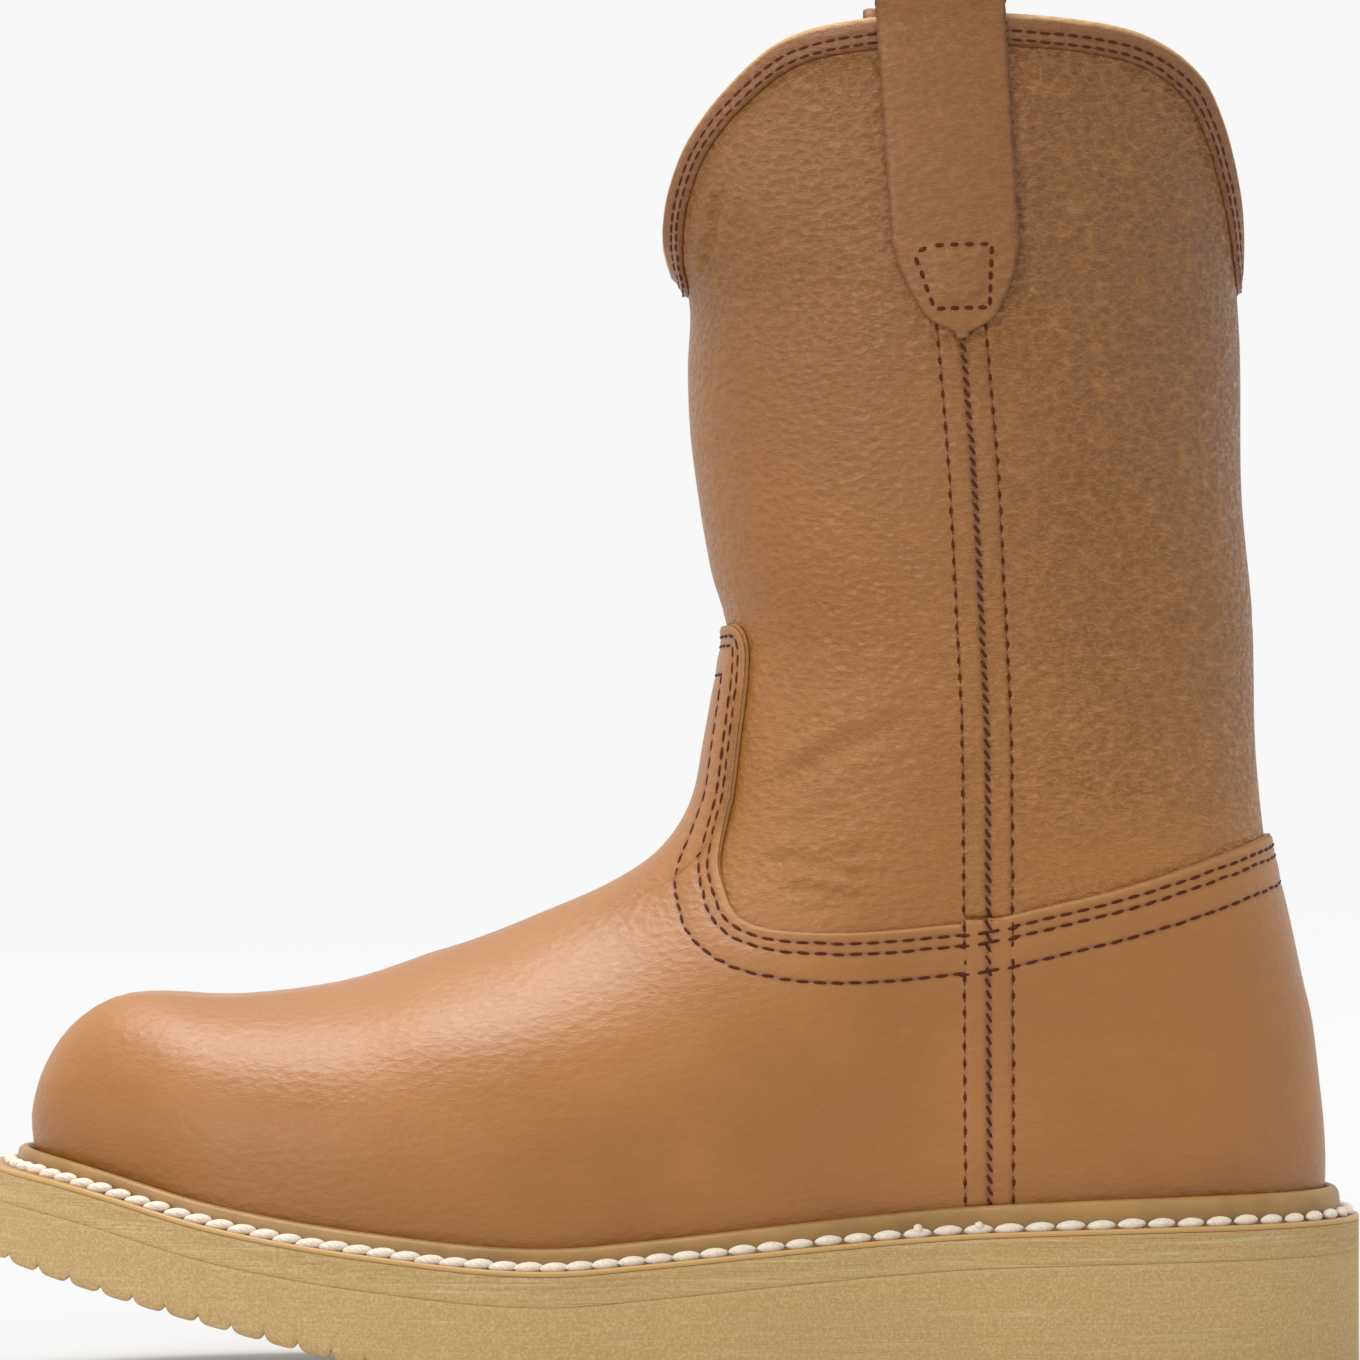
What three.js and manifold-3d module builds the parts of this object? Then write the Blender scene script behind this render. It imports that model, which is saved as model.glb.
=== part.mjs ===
import * as THREE from "three";
import { mergeVertices } from "three/addons/utils/BufferGeometryUtils.js";
import Module from "manifold-3d";

// A left pull-on work boot with a wedge sole, standing on Z = 0.
// The toe points to -X and the outer side faces -Y. Lengths are in millimetres.

// Upper
const LAST_LENGTH = 291.4;
const BALL_WIDTH = 102;
const HEEL_WIDTH = 72;
const ANKLE_RISE = 137.4;
const SHAFT_HEIGHT = 130;
const SHAFT_WIDTH = 106;
const SCALLOP_DEPTH = 60;
const TOE_SHIFT = 5;
const FEATHER_TUCK = 1.2;
const LEATHER = 2;
const OVERLAY = 1.6;
const GAP = 0.3;
const FEATHER_LIFT = 1.8 * GAP;
const FEATHER_LEDGE = 1.5;

// Roundness of the upper's crown: powers of a superellipse at the toe, instep and shaft
const TOE_CROWN = 2.4;
const INSTEP_CROWN = 1.9;
const SHAFT_CROWN = 2;

// Places along the last, as shares of its length from the toe
const LEAN_ENDS = 0.187;
const PIVOT = 0.342;
const LEAN_STARTS = 0.565;
const MIDDLE = 0.7;

// Height of the widest line above the sole, as shares of the ankle's rise
const WIDEST_AT_TOE = 0.083;
const WIDEST_AT_PIVOT = 0.15;

// Levels between which the foot's plan turns into the leg's, and the heel's round into the leg's
const LEG_STARTS = 0.27;
const LEG_ENDS = 0.71;
const HEEL_ROUND = 0.7;
const HEEL_ROUND_ENDS = 0.38;

// Sole
const HEEL_STACK = 37.6;
const WELT = 2.6;
const MIDSOLE = 5;
const TOE_OVERHANG = 9.7;
const SIDE_OVERHANG = 7.4;
const HEEL_OVERHANG = 7.5;
const SPRING_SLOPE = 0.243;
const SPRING_START = 145;
const SPRING_BEND = 50;
const TREAD_PITCH = 7.5;
const TREAD_NOTCH = 2.2;
const TREAD_DEPTH = 2;
const RIDGE_HEIGHT = 4.6;
const RIDGE_HEEL_RISE = 1.8;
const RIDGE_WIDTH = 3.8;
const RIDGE_RISE_FROM = -40;
const FLANGE_CHAMFER = 0.5;

// Insole
const INSOLE = 3.2;

// Collar binding, side seams and pull straps
const BINDING = 0.8;
const BINDING_DROP = 6.2;
const BINDING_SLOPE_LIMIT = 2.2;
const SEAM_WIDTH = 11.2;
const SEAM_RAISE = 0.7;
const STRAP_WIDTH = 28.4;
const STRAP_THICKNESS = 1.8;
const STRAP_DROP = 69.5;
const STRAP_TAPER = 20;
const STRAP_INSIDE_DROP = 44;
const LOOP_RISE = 12;
const LOOP_BOW = 3.8;

// Facets: steps from front to back on one side, and levels of the shaft
const SIDE_STEPS = 18;
const SHAFT_LEVELS = 7;

const OUTER = -1;
const INNER = 1;
const TOE_X = -LAST_LENGTH / 2 + (TOE_OVERHANG - HEEL_OVERHANG) / 2;
const HEEL_X = TOE_X + LAST_LENGTH;
const OVERLAY_FACE = GAP + OVERLAY;
const SOLE_TOE_X = TOE_X - OVERLAY_FACE - TOE_OVERHANG;
const SOLE_LENGTH = HEEL_X + OVERLAY_FACE + HEEL_OVERHANG - SOLE_TOE_X;
const ANKLE_Z = HEEL_STACK + ANKLE_RISE;
const COLLAR_Z = ANKLE_Z + SHAFT_HEIGHT;

// Top line of the sole: [share of the sole's length from the toe, share of the heel stack]
const SOLE_TOP = [
  [0, 1.315], [0.052, 1.25], [0.094, 1.176], [0.167, 1.021], [0.238, 0.915],
  [0.308, 0.84], [0.366, 0.79], [0.42, 0.774], [0.478, 0.806], [0.561, 0.87],
  [0.66, 0.936], [0.73, 0.971], [0.846, 0.997], [1, 1],
];

// Last outline: [turn from the toe in degrees, outer half, inner half], shares of the local width
const OUTLINE = [
  [0, 0, 0], [15, 0.157, 0.147], [30, 0.304, 0.284], [45, 0.436, 0.382], [60, 0.519, 0.44],
  [75, 0.535, 0.447], [90, 0.465, 0.374], [105, 0.462, 0.362], [120, 0.517, 0.461],
  [135, 0.5, 0.493], [150, 0.389, 0.389], [165, 0.211, 0.211], [180, 0, 0],
];

// Sections of foot and ankle, from the feather line up: [front as a share of the last's length,
// front height and back height as shares of the ankle's rise, share of the feather line's dip]
const SECTIONS = [
  [0.004, 0.003, 0.002, 1], [0.0007, 0.04, 0.047, 0.85], [0, 0.078, 0.087, 0.72],
  [0.0035, 0.128, 0.125, 0.62], [0.0125, 0.186, 0.16, 0.5], [0.0305, 0.255, 0.196, 0.4],
  [0.0585, 0.31, 0.23, 0.3], [0.098, 0.338, 0.26, 0.22], [0.148, 0.3535, 0.29, 0.15],
  [0.2, 0.371, 0.316, 0.08], [0.253, 0.4, 0.341, 0.03], [0.308, 0.44, 0.367, 0],
  [0.363, 0.484, 0.392, 0], [0.41, 0.524, 0.418, 0], [0.455, 0.563, 0.446, 0],
  [0.484, 0.598, 0.475, 0], [0.5045, 0.645, 0.512, 0], [0.519, 0.705, 0.57, 0],
  [0.527, 0.784, 0.655, 0], [0.5335, 0.862, 0.765, 0], [0.5391, 0.945, 0.9, 0],
  [0.534, 1, 1, 0],
];

// Lines below go by level: 0 at the sole, 1 at the ankle's bend, 2 at the collar's top.
// Back line: [level, share of the last's length]
const BACK_LINE = [
  [0, 0.996], [0.06, 1], [0.134, 1], [0.219, 0.9962], [0.319, 0.99], [0.385, 0.9822],
  [0.451, 0.9749], [0.518, 0.9674], [0.568, 0.9619], [0.617, 0.9588], [0.716, 0.9554],
  [0.818, 0.9523], [1, 0.9472], [1.156, 0.943], [1.295, 0.941], [1.45, 0.9386],
  [1.56, 0.9365], [1.603, 0.939], [1.664, 0.945], [1.725, 0.95], [1.8, 0.953], [2, 0.952],
];

// Front line of the shaft: [level, share of the last's length]
const SHAFT_FRONT = [
  [1, 0.534], [1.05, 0.5265], [1.084, 0.523], [1.168, 0.517], [1.29, 0.5117], [1.42, 0.5096],
  [1.542, 0.508], [1.603, 0.4935], [1.664, 0.479], [1.725, 0.4725], [1.8, 0.4725],
  [1.878, 0.479], [1.954, 0.485], [2, 0.489],
];

// Half width of ankle and shaft: [level, share of the shaft's width]
const LEG = [
  [0, 0.35], [0.454, 0.358], [0.6, 0.373], [0.745, 0.392], [0.89, 0.415], [1, 0.434],
  [1.19, 0.462], [1.42, 0.486], [1.65, 0.495], [2, 0.5],
];

// Collar edge: [turn from the front in degrees, share of the scallop's depth]
const COLLAR = [
  [0, 0.895], [6, 0.875], [11, 0.82], [20, 0.71], [26, 0.59], [32.3, 0.433], [40.4, 0.265],
  [53, 0.09], [68, 0.022], [90, 0], [112, 0.022], [127, 0.075], [141, 0.205], [147.8, 0.35],
  [152.8, 0.49], [158.8, 0.63], [166.7, 0.77], [174, 0.85], [180, 0.875],
];

// Centre of the side seam: [level, share of the last's length]
const SEAM_LINE = [
  [0, 0.738], [0.5, 0.737], [0.78, 0.7354], [1, 0.7303], [1.24, 0.7238], [1.47, 0.7148],
  [1.63, 0.7097], [1.85, 0.7032], [2, 0.6987],
];

// Upper edge of the vamp, tongue first: [share of the last's length, level]
const VAMP_LINE = [
  [0.5339, 0.971], [0.5456, 0.975], [0.554, 0.951], [0.5556, 0.9], [0.5529, 0.806],
  [0.5415, 0.668], [0.5335, 0.59], [0.5354, 0.553], [0.5453, 0.502], [0.5645, 0.481],
  [0.6, 0.473], [0.6395, 0.474], [0.7374, 0.494],
];

// Upper edge of the counter, from the side seam back: [share of the last's length, level]
const COUNTER_LINE = [[0.7374, 0.494], [0.7865, 0.519], [0.8573, 0.557], [0.9584, 0.628]];

// Pull strap's end: [share of the taper's length, share of the half width]
const STRAP_END = [[0, 0.05], [0.055, 0.26], [0.135, 0.48], [0.355, 0.69], [0.685, 0.89], [1, 1]];

const TAN = 0xbd8350;
const RUBBER = 0xcdb079;

const wasm = await Module();
wasm.setup();
const { clamp, degToRad, lerp, radToDeg, smoothstep } = THREE.MathUtils;

// A smooth function through two columns of a table
function through(rows, value = 1) {
  const last = rows.length - 1;
  const slope = rows.map((row, i) => {
    const before = rows[Math.max(i - 1, 0)];
    const after = rows[Math.min(i + 1, last)];
    return (after[value] - before[value]) / (after[0] - before[0]);
  });
  return (at) => {
    let i = 0;
    while (i < last - 1 && at > rows[i + 1][0]) i += 1;
    const step = rows[i + 1][0] - rows[i][0];
    const t = clamp((at - rows[i][0]) / step, 0, 1);
    const rise = t * t * (3 - 2 * t);
    const entry = t * (1 - t) * (1 - t) * step * slope[i];
    const exit = t * t * (t - 1) * step * slope[i + 1];
    return lerp(rows[i][value], rows[i + 1][value], rise) + entry + exit;
  };
}

// A straight-line lookup in samples of [at, value] whose first column rises
function lookup(samples, at) {
  let low = 0;
  let high = samples.length - 1;
  while (high - low > 1) {
    const middle = (low + high) >> 1;
    if (samples[middle][0] > at) high = middle;
    else low = middle;
  }
  const span = samples[high][0] - samples[low][0];
  return lerp(samples[low][1], samples[high][1], clamp((at - samples[low][0]) / span, 0, 1));
}

const lengthX = (share) => TOE_X + share * LAST_LENGTH;
const soleTopShare = through(SOLE_TOP);
const soleTop = (x) => HEEL_STACK * soleTopShare((x - SOLE_TOE_X) / SOLE_LENGTH);
const level = (z) =>
  z < ANKLE_Z ? (z - HEEL_STACK) / ANKLE_RISE : 1 + (z - ANKLE_Z) / SHAFT_HEIGHT;
const levelZ = (at) =>
  at < 1 ? HEEL_STACK + at * ANKLE_RISE : ANKLE_Z + (at - 1) * SHAFT_HEIGHT;

const backShare = through(BACK_LINE);
const shaftFrontShare = through(SHAFT_FRONT);
const legShare = through(LEG);
const seamShare = through(SEAM_LINE);
const collarShare = through(COLLAR);
const backX = (z) => lengthX(backShare(level(z)));
const shaftFrontX = (z) => lengthX(shaftFrontShare(level(z)));
const legHalf = (z) => SHAFT_WIDTH * legShare(level(z));
const seamX = (z) => lengthX(seamShare(level(z)));
const collarZ = (turn) => COLLAR_Z - SCALLOP_DEPTH * collarShare(turn);

// Front line of foot and ankle, with a number for each section
const numbered = SECTIONS.map(([along, front], i) => [i, lengthX(along), front]);
const frontX = through(numbered, 1);
const frontShare = through(numbered, 2);
const frontPoint = (i) => {
  const x = frontX(i);
  return [x, lerp(soleTop(x), ANKLE_Z, frontShare(i))];
};
const FRONT_TIP = 2;
const FRONT_SAMPLES = 200;
const frontLine = Array.from({ length: FRONT_SAMPLES + 1 }, (_, k) =>
  frontPoint(lerp(FRONT_TIP, SECTIONS.length - 1, k / FRONT_SAMPLES)),
);

// Sections turn about this point, from upright in the forefoot to level at the ankle
const PIVOT_X = lengthX(PIVOT);
const fanLine = frontLine
  .filter(([x]) => x >= PIVOT_X)
  .map(([x, z]) => [Math.atan2(x - PIVOT_X, ANKLE_Z - z), Math.hypot(x - PIVOT_X, ANKLE_Z - z)]);

// Half width of the last's outline at x, on one side
const outlineShare = { [OUTER]: through(OUTLINE, 1), [INNER]: through(OUTLINE, 2) };
function outlineHalf(side, x) {
  const along = clamp((x - TOE_X) / LAST_LENGTH, 0, 1);
  const turn = radToDeg(Math.acos(1 - 2 * along));
  return outlineShare[side](turn) * lerp(BALL_WIDTH, HEEL_WIDTH, smoothstep(turn, 90, 120));
}

// The foot's axis in plan, which leans to the inner side at the toe
const axisY = (x) => TOE_SHIFT * smoothstep(-x, -lengthX(LEAN_STARTS), -lengthX(LEAN_ENDS));

// Height of the widest line of the foot above the sole's top
const widestRise = (x) =>
  ANKLE_RISE * lerp(WIDEST_AT_TOE, WIDEST_AT_PIVOT, smoothstep(x, TOE_X, PIVOT_X));

// How far the wall leans in below its widest line, from 0 there to 1 at the feather
const tuckShare = (x, z) => clamp(1 - (z - soleTop(x)) / widestRise(x), 0, 1) ** 2;

// Half width of the upper at a point of its side view
function halfWidth(side, x, z) {
  const middle = lengthX(MIDDLE);
  const tuck = tuckShare(x, z);
  const frontEnd = TOE_X + FEATHER_TUCK * tuckShare(TOE_X, z);
  const end = x > middle ? HEEL_X : TOE_X;
  const endHere = x > middle ? backX(z) : frontEnd;
  const planX = middle + ((x - middle) * (end - middle)) / (endHere - middle);
  const foot = outlineHalf(side, planX) * (1 - ((2 * FEATHER_TUCK) / BALL_WIDTH) * tuck);
  const depth = (backX(ANKLE_Z) - shaftFrontX(ANKLE_Z)) / 2;
  const reach = z < ANKLE_Z
    ? lerp(HEEL_ROUND * depth, depth, smoothstep(level(z), HEEL_ROUND_ENDS, 1))
    : (backX(z) - shaftFrontX(z)) / 2;
  const fromBack = clamp((backX(z) - x) / reach, 0, 1);
  const leg = legHalf(z) * Math.sqrt(1 - (1 - fromBack) ** 2);
  const body = lerp(foot, leg, smoothstep(level(z), LEG_STARTS, LEG_ENDS));
  return body * crown(x, z, depth);
}

// Share of the full width left near the front line, by distance from it along the section
function crown(x, z, ankleDepth) {
  if (z >= ANKLE_Z) {
    const reach = (backX(z) - shaftFrontX(z)) / 2;
    return rounded((x - shaftFrontX(z)) / reach, SHAFT_CROWN);
  }
  const upright = soleTop(PIVOT_X) + widestRise(PIVOT_X);
  const instepDepth = lookup(frontLine, PIVOT_X) - upright;
  if (x < PIVOT_X) {
    const ridge = lookup(frontLine, x);
    const depth = Math.max(ridge - soleTop(x) - widestRise(x), GAP);
    const power = lerp(TOE_CROWN, INSTEP_CROWN, smoothstep(x, TOE_X, PIVOT_X));
    return rounded((ridge - z) / depth, power);
  }
  const turn = Math.atan2(x - PIVOT_X, ANKLE_Z - z);
  const from = Math.hypot(x - PIVOT_X, ANKLE_Z - z) - lookup(fanLine, turn);
  const share = turn / (Math.PI / 2);
  return rounded(
    from / lerp(instepDepth, ankleDepth, share),
    lerp(INSTEP_CROWN, SHAFT_CROWN, share),
  );
}

// Quarter of a superellipse: 0 at the edge, 1 from the full depth on
const rounded = (share, power) => Math.sqrt(1 - (1 - clamp(share, 0, 1)) ** power);

// Ring of points around the boot: front, outer side, back, inner side
function ringOf(point, steps = SIDE_STEPS) {
  const ring = [];
  for (let j = 0; j < 2 * steps; j += 1) {
    const side = j <= steps ? OUTER : INNER;
    const step = j <= steps ? j : 2 * steps - j;
    ring.push(point(side, (180 * step) / steps));
  }
  return ring;
}

const backward = (turn) => (1 - Math.cos(degToRad(turn))) / 2;

function upperPoint(side, turn, x, z) {
  const edge = turn === 0 || turn === 180;
  return new THREE.Vector3(x, axisY(x) + (edge ? 0 : side * halfWidth(side, x, z)), z);
}

// The feather line, where the upper meets the sole
function featherRing(steps) {
  return ringOf((side, turn) => {
    const x = lerp(frontX(0), backX(HEEL_STACK), backward(turn));
    return upperPoint(side, turn, x, soleTop(x) + FEATHER_LIFT);
  }, steps);
}

// Rings of foot and ankle, each between its front and back heights
function footRing(index) {
  if (index === 0) return featherRing(SIDE_STEPS);
  const [x0, z0] = frontPoint(index);
  const [, , back, dip] = SECTIONS[index];
  const z1 = levelZ(back);
  const [lowX, lowZ] = frontPoint(0);
  return ringOf((side, turn) => {
    const share = backward(turn);
    const x = lerp(x0, backX(z1), share);
    const chord = lerp(lowZ, HEEL_STACK, (x - lowX) / (backX(HEEL_STACK) - lowX));
    const z = lerp(z0, z1, share) + dip * (soleTop(x) - chord);
    return upperPoint(side, turn, x, z);
  });
}

// Point of the shaft at a turn from the front, which may run past the front or back
function shaftPoint(side, turn, z) {
  if (turn < 0) return shaftPoint(-side, -turn, z);
  if (turn > 180) return shaftPoint(-side, 360 - turn, z);
  return upperPoint(side, turn, lerp(shaftFrontX(z), backX(z), backward(turn)), z);
}

const shaftZ = (turn, share, drop) =>
  lerp(ANKLE_Z, collarZ(turn) - drop * Math.min(collarSlope(turn), BINDING_SLOPE_LIMIT), share);

// Length of the collar's edge for each unit that it runs around the shaft
function collarSlope(turn) {
  const step = 2;
  const rise = collarZ(turn + step) - collarZ(turn - step);
  return Math.hypot(1, rise / ((SHAFT_WIDTH / 2) * degToRad(2 * step)));
}

// Shaft levels: [share of the way up, drop below the collar's edge]
const shaftLevels = [
  ...Array.from({ length: SHAFT_LEVELS }, (_, k) => [(k + 1) / SHAFT_LEVELS, BINDING_DROP]),
  [1, 0],
];
const base = [
  ...SECTIONS.map((_, i) => footRing(i)),
  ...shaftLevels.map(([share, drop]) =>
    ringOf((side, turn) => shaftPoint(side, turn, shaftZ(turn, share, drop)))),
];

// Outward direction at each point of the base form
const footOutward = (i) =>
  base[i].map((_, j) => {
    const ring = base[i];
    const up = base[i + 1][j].clone().sub(base[Math.max(i - 1, 0)][j]);
    const behind = ring[(j + ring.length - 1) % ring.length];
    const along = ring[(j + 1) % ring.length].clone().sub(behind);
    const normal = along.cross(up);
    if (i === 0) normal.z = 0;
    return normal.normalize();
  });
const shaftOutward = ([share, drop]) =>
  ringOf((side, turn) => {
    const z = shaftZ(turn, share, drop);
    const along = shaftPoint(side, turn + 2, z).sub(shaftPoint(side, turn - 2, z));
    const up = shaftPoint(side, turn, z + 1).sub(shaftPoint(side, turn, z - 1));
    return along.cross(up).multiplyScalar(-side).normalize();
  });
const outward = [...SECTIONS.map((_, i) => footOutward(i)), ...shaftLevels.map(shaftOutward)];

const offsetRing = (i, distance) =>
  base[i].map((point, j) => point.clone().addScaledVector(outward[i][j], distance));
const offsetRings = (distance) => base.map((_, i) => offsetRing(i, distance));

// A closed surface over rings, capped across its ends or joined last to first
function skin(rings, capped) {
  const around = rings[0].length;
  const half = around / 2;
  const positions = rings.flat().flatMap((point) => point.toArray());
  const at = (i, j) => (i % rings.length) * around + (j % around);
  const faces = [];
  const face = (a, b, c) => faces.push(a, b, c);
  const spans = capped ? rings.length - 1 : rings.length;
  const points = rings.flat();
  for (let i = 0; i < spans; i += 1)
    for (let j = 0; j < around; j += 1) {
      const [a, b, c, d] = [at(i, j), at(i, j + 1), at(i + 1, j + 1), at(i + 1, j)];
      if (points[a].distanceTo(points[c]) < points[b].distanceTo(points[d])) {
        face(a, b, c);
        face(a, c, d);
      } else {
        face(a, b, d);
        face(b, c, d);
      }
    }
  if (capped) {
    const top = rings.length - 1;
    for (let j = 0; j < half; j += 1) {
      const [a, b, c, d] = [j, j + 1, around - j - 1, around - j];
      if (j < half - 1) {
        face(at(0, a), at(0, c), at(0, b));
        face(at(top, a), at(top, b), at(top, c));
      }
      if (j > 0) {
        face(at(0, a), at(0, d), at(0, c));
        face(at(top, a), at(top, c), at(top, d));
      }
    }
  }
  const geometry = new THREE.BufferGeometry();
  geometry.setAttribute("position", new THREE.Float32BufferAttribute(positions, 3));
  geometry.setIndex(faces);
  return geometry;
}

// Solids for cutting and joining
function solid(geometry) {
  const bare = geometry.clone();
  bare.deleteAttribute("normal");
  bare.deleteAttribute("uv");
  const merged = mergeVertices(bare, 1e-4);
  return new wasm.Manifold(
    new wasm.Mesh({
      numProp: 3,
      vertProperties: merged.attributes.position.array,
      triVerts: new Uint32Array(merged.index.array),
    }),
  );
}

function geometryOf(manifold) {
  const { vertProperties, triVerts } = manifold.getMesh();
  const geometry = new THREE.BufferGeometry();
  geometry.setAttribute("position", new THREE.BufferAttribute(vertProperties, 3));
  geometry.setIndex(new THREE.BufferAttribute(triVerts, 1));
  return geometry;
}

// The upper's form grown by a distance, and run past its ends where it cuts another
function form(distance, past = 0) {
  const rings = offsetRings(distance);
  if (past > 0) {
    const shift = (ring, z) => ring.map((point) => point.clone().setZ(point.z + z));
    rings.unshift(shift(rings[0], -past));
    rings.push(shift(rings[rings.length - 1], past));
  }
  return solid(skin(rings, true));
}

// A plate with a side-view outline, between two Y values
function plate(points, fromY, toY) {
  const shape = new THREE.Shape(points.map(([x, z]) => new THREE.Vector2(x, z)));
  const geometry = new THREE.ExtrudeGeometry(shape, { depth: toY - fromY, bevelEnabled: false });
  return solid(geometry.rotateX(Math.PI / 2).translate(0, toY, 0));
}

// A layer over the upper, from one distance to another, cut to a side-view outline
function layer(from, to, points, fromY = -BALL_WIDTH, toY = BALL_WIDTH) {
  return geometryOf(form(to).subtract(form(from, LEATHER)).intersect(plate(points, fromY, toY)));
}

const boot = new THREE.Group();

function addPiece(name, geometry, color, roughness) {
  const material = new THREE.MeshStandardMaterial({ color, roughness, metalness: 0 });
  const mesh = new THREE.Mesh(geometry, material);
  mesh.name = name;
  boot.add(mesh);
  return mesh;
}

// Upper: one wall of leather, open at the collar and underneath
addPiece("upper", skin([...offsetRings(0), ...offsetRings(-LEATHER).reverse()], false), TAN, 0.5);

// Vamp and counter meet at the side seams
const linePoints = (rows) => rows.map(([along, at]) => [lengthX(along), levelZ(at)]);
const vampLine = linePoints(VAMP_LINE);
const counterLine = linePoints(COUNTER_LINE);
const seamFoot = seamX(HEEL_STACK);
const farX = LAST_LENGTH;
const vampEnd = vampLine.pop();
const vampTop = vampLine[0][1];
addPiece(
  "vamp",
  layer(GAP, OVERLAY_FACE, [
    [-farX, 0], [seamFoot - GAP / 2, 0], [seamFoot - GAP / 2, vampEnd[1]],
    ...vampLine.reverse(), [-farX, vampTop],
  ]),
  TAN, 0.5,
);
counterLine[0][0] = seamFoot + GAP / 2;
const counterEnd = counterLine[counterLine.length - 1];
addPiece(
  "counter",
  layer(GAP, OVERLAY_FACE, [
    [seamFoot + GAP / 2, 0], [farX, 0], [farX, counterEnd[1]], ...counterLine.reverse(),
  ]),
  TAN, 0.5,
);

// Binding: a folded strip over the collar's edge, as deep as the upper's last strip of wall
const topRing = base.length - 1;
const bindingRing = (distance, above) => {
  const edge = offsetRing(topRing, distance);
  const lower = offsetRing(topRing - 1, distance);
  const share = above ? 1 + above / BINDING_DROP : 0;
  return edge.map((point, j) => lower[j].clone().lerp(point, share));
};
const bindingFace = GAP + BINDING;
const bindingIn = -LEATHER - 2 * GAP;
addPiece(
  "collar_binding",
  skin([
    bindingRing(bindingFace, 0), bindingRing(bindingFace, GAP), bindingRing(GAP, bindingFace),
    bindingRing(bindingIn, bindingFace), bindingRing(bindingIn - BINDING, GAP),
    bindingRing(bindingIn - BINDING, 0), bindingRing(bindingIn, 0), bindingRing(bindingIn, GAP),
    bindingRing(GAP, GAP), bindingRing(GAP, 0),
  ], false),
  TAN, 0.5,
);

// Side seams: a raised strip on the shaft and one on the foot, on each side
const strapTip = COLLAR_Z - STRAP_DROP;
const seamBand = (levels) => {
  const half = SEAM_WIDTH / 2;
  const line = levels.map((z) => [seamX(z), z]);
  const back = line.toReversed().map(([x, z]) => [x + half, z]);
  return [...line.map(([x, z]) => [x - half, z]), ...back];
};
const between = (low, high, count) =>
  Array.from({ length: count + 1 }, (_, k) => lerp(low, high, k / count));
const ridgeTop = (x) =>
  soleTop(x) + RIDGE_HEIGHT + RIDGE_HEEL_RISE * smoothstep(x, RIDGE_RISE_FROM, HEEL_X);
for (const [word, side] of [["outer", OUTER], ["inner", INNER]]) {
  const fromY = side === OUTER ? -BALL_WIDTH : 0;
  const toY = side === OUTER ? 0 : BALL_WIDTH;
  const shaftBand = seamBand(between(vampEnd[1] + SEAM_WIDTH / 4, strapTip - 1, 4));
  const footBand = seamBand([ridgeTop(seamFoot) + GAP, vampEnd[1] - SEAM_WIDTH / 4]);
  const addSeam = (part, from, band) =>
    addPiece(`side_seam_${word}_${part}`, layer(from, from + SEAM_RAISE, band, fromY, toY), TAN, 0.5);
  addSeam("shaft", GAP, shaftBand);
  addSeam("foot", OVERLAY_FACE + GAP, footBand);
}

// Pull straps: each comes up the outside, loops over the collar and ends inside
const strapOut = GAP + STRAP_THICKNESS / 2;
const strapIn = -LEATHER - 2 * GAP - STRAP_THICKNESS / 2;
const strapPastBinding = strapIn - BINDING - 2 * GAP;
const strapOverBinding = strapOut + BINDING + GAP / 2;
const loopMiddle = (strapOut + strapIn) / 2;
const strapPath = new THREE.SplineCurve([
  [strapOut, -STRAP_DROP], [strapOut, -STRAP_DROP * 0.75], [strapOut, -STRAP_DROP * 0.5],
  [strapOut, -STRAP_DROP * 0.28], [strapOverBinding, -STRAP_DROP * 0.14],
  [strapOverBinding + GAP, 0], [strapOut + LOOP_BOW, LOOP_RISE * 0.52],
  [strapOut + LOOP_BOW * 0.4, LOOP_RISE * 0.85], [loopMiddle, LOOP_RISE - STRAP_THICKNESS / 2],
  [strapIn - LOOP_BOW * 0.4, LOOP_RISE * 0.85], [strapPastBinding - LOOP_BOW / 2, LOOP_RISE * 0.52],
  [strapPastBinding, 0], [strapPastBinding, -STRAP_DROP * 0.14],
  [strapIn, -STRAP_INSIDE_DROP * 0.6], [strapIn, -STRAP_INSIDE_DROP],
].map(([distance, rise]) => new THREE.Vector2(distance, rise)));
const STRAP_ROWS = 30;
const STRAP_COLUMNS = 3;
const END_ROWS = 6;
const END_PART = 0.11;
const strapEndShare = through(STRAP_END);

function strapGeometry(side) {
  const rings = [];
  for (let i = 0; i <= STRAP_ROWS; i += 1) {
    const t = i < END_ROWS
      ? END_PART * (i / END_ROWS) ** 1.6
      : lerp(END_PART, 1, (i - END_ROWS) / (STRAP_ROWS - END_ROWS));
    const { x: distance, y: rise } = strapPath.getPoint(t);
    const ahead = strapPath.getTangent(t);
    const fromTip = (rise + STRAP_DROP) / STRAP_TAPER;
    const outside = distance > loopMiddle;
    const half = (STRAP_WIDTH / 2) * (outside ? strapEndShare(fromTip) : 1);
    const row = (face) =>
      Array.from({ length: STRAP_COLUMNS + 1 }, (_, k) => {
        const z = COLLAR_Z + rise + (face * STRAP_THICKNESS * -ahead.x) / 2;
        const wallZ = Math.min(z, COLLAR_Z);
        const x = seamX(wallZ) + half * ((2 * k) / STRAP_COLUMNS - 1);
        const out = distance + (face * STRAP_THICKNESS * ahead.y) / 2;
        return new THREE.Vector3(x, side * (halfWidth(side, x, wallZ) + out), z);
      });
    const ring = [...row(1), ...row(-1).reverse()];
    rings.push(side === OUTER ? ring : ring.reverse());
  }
  return skin(rings, true);
}
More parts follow.
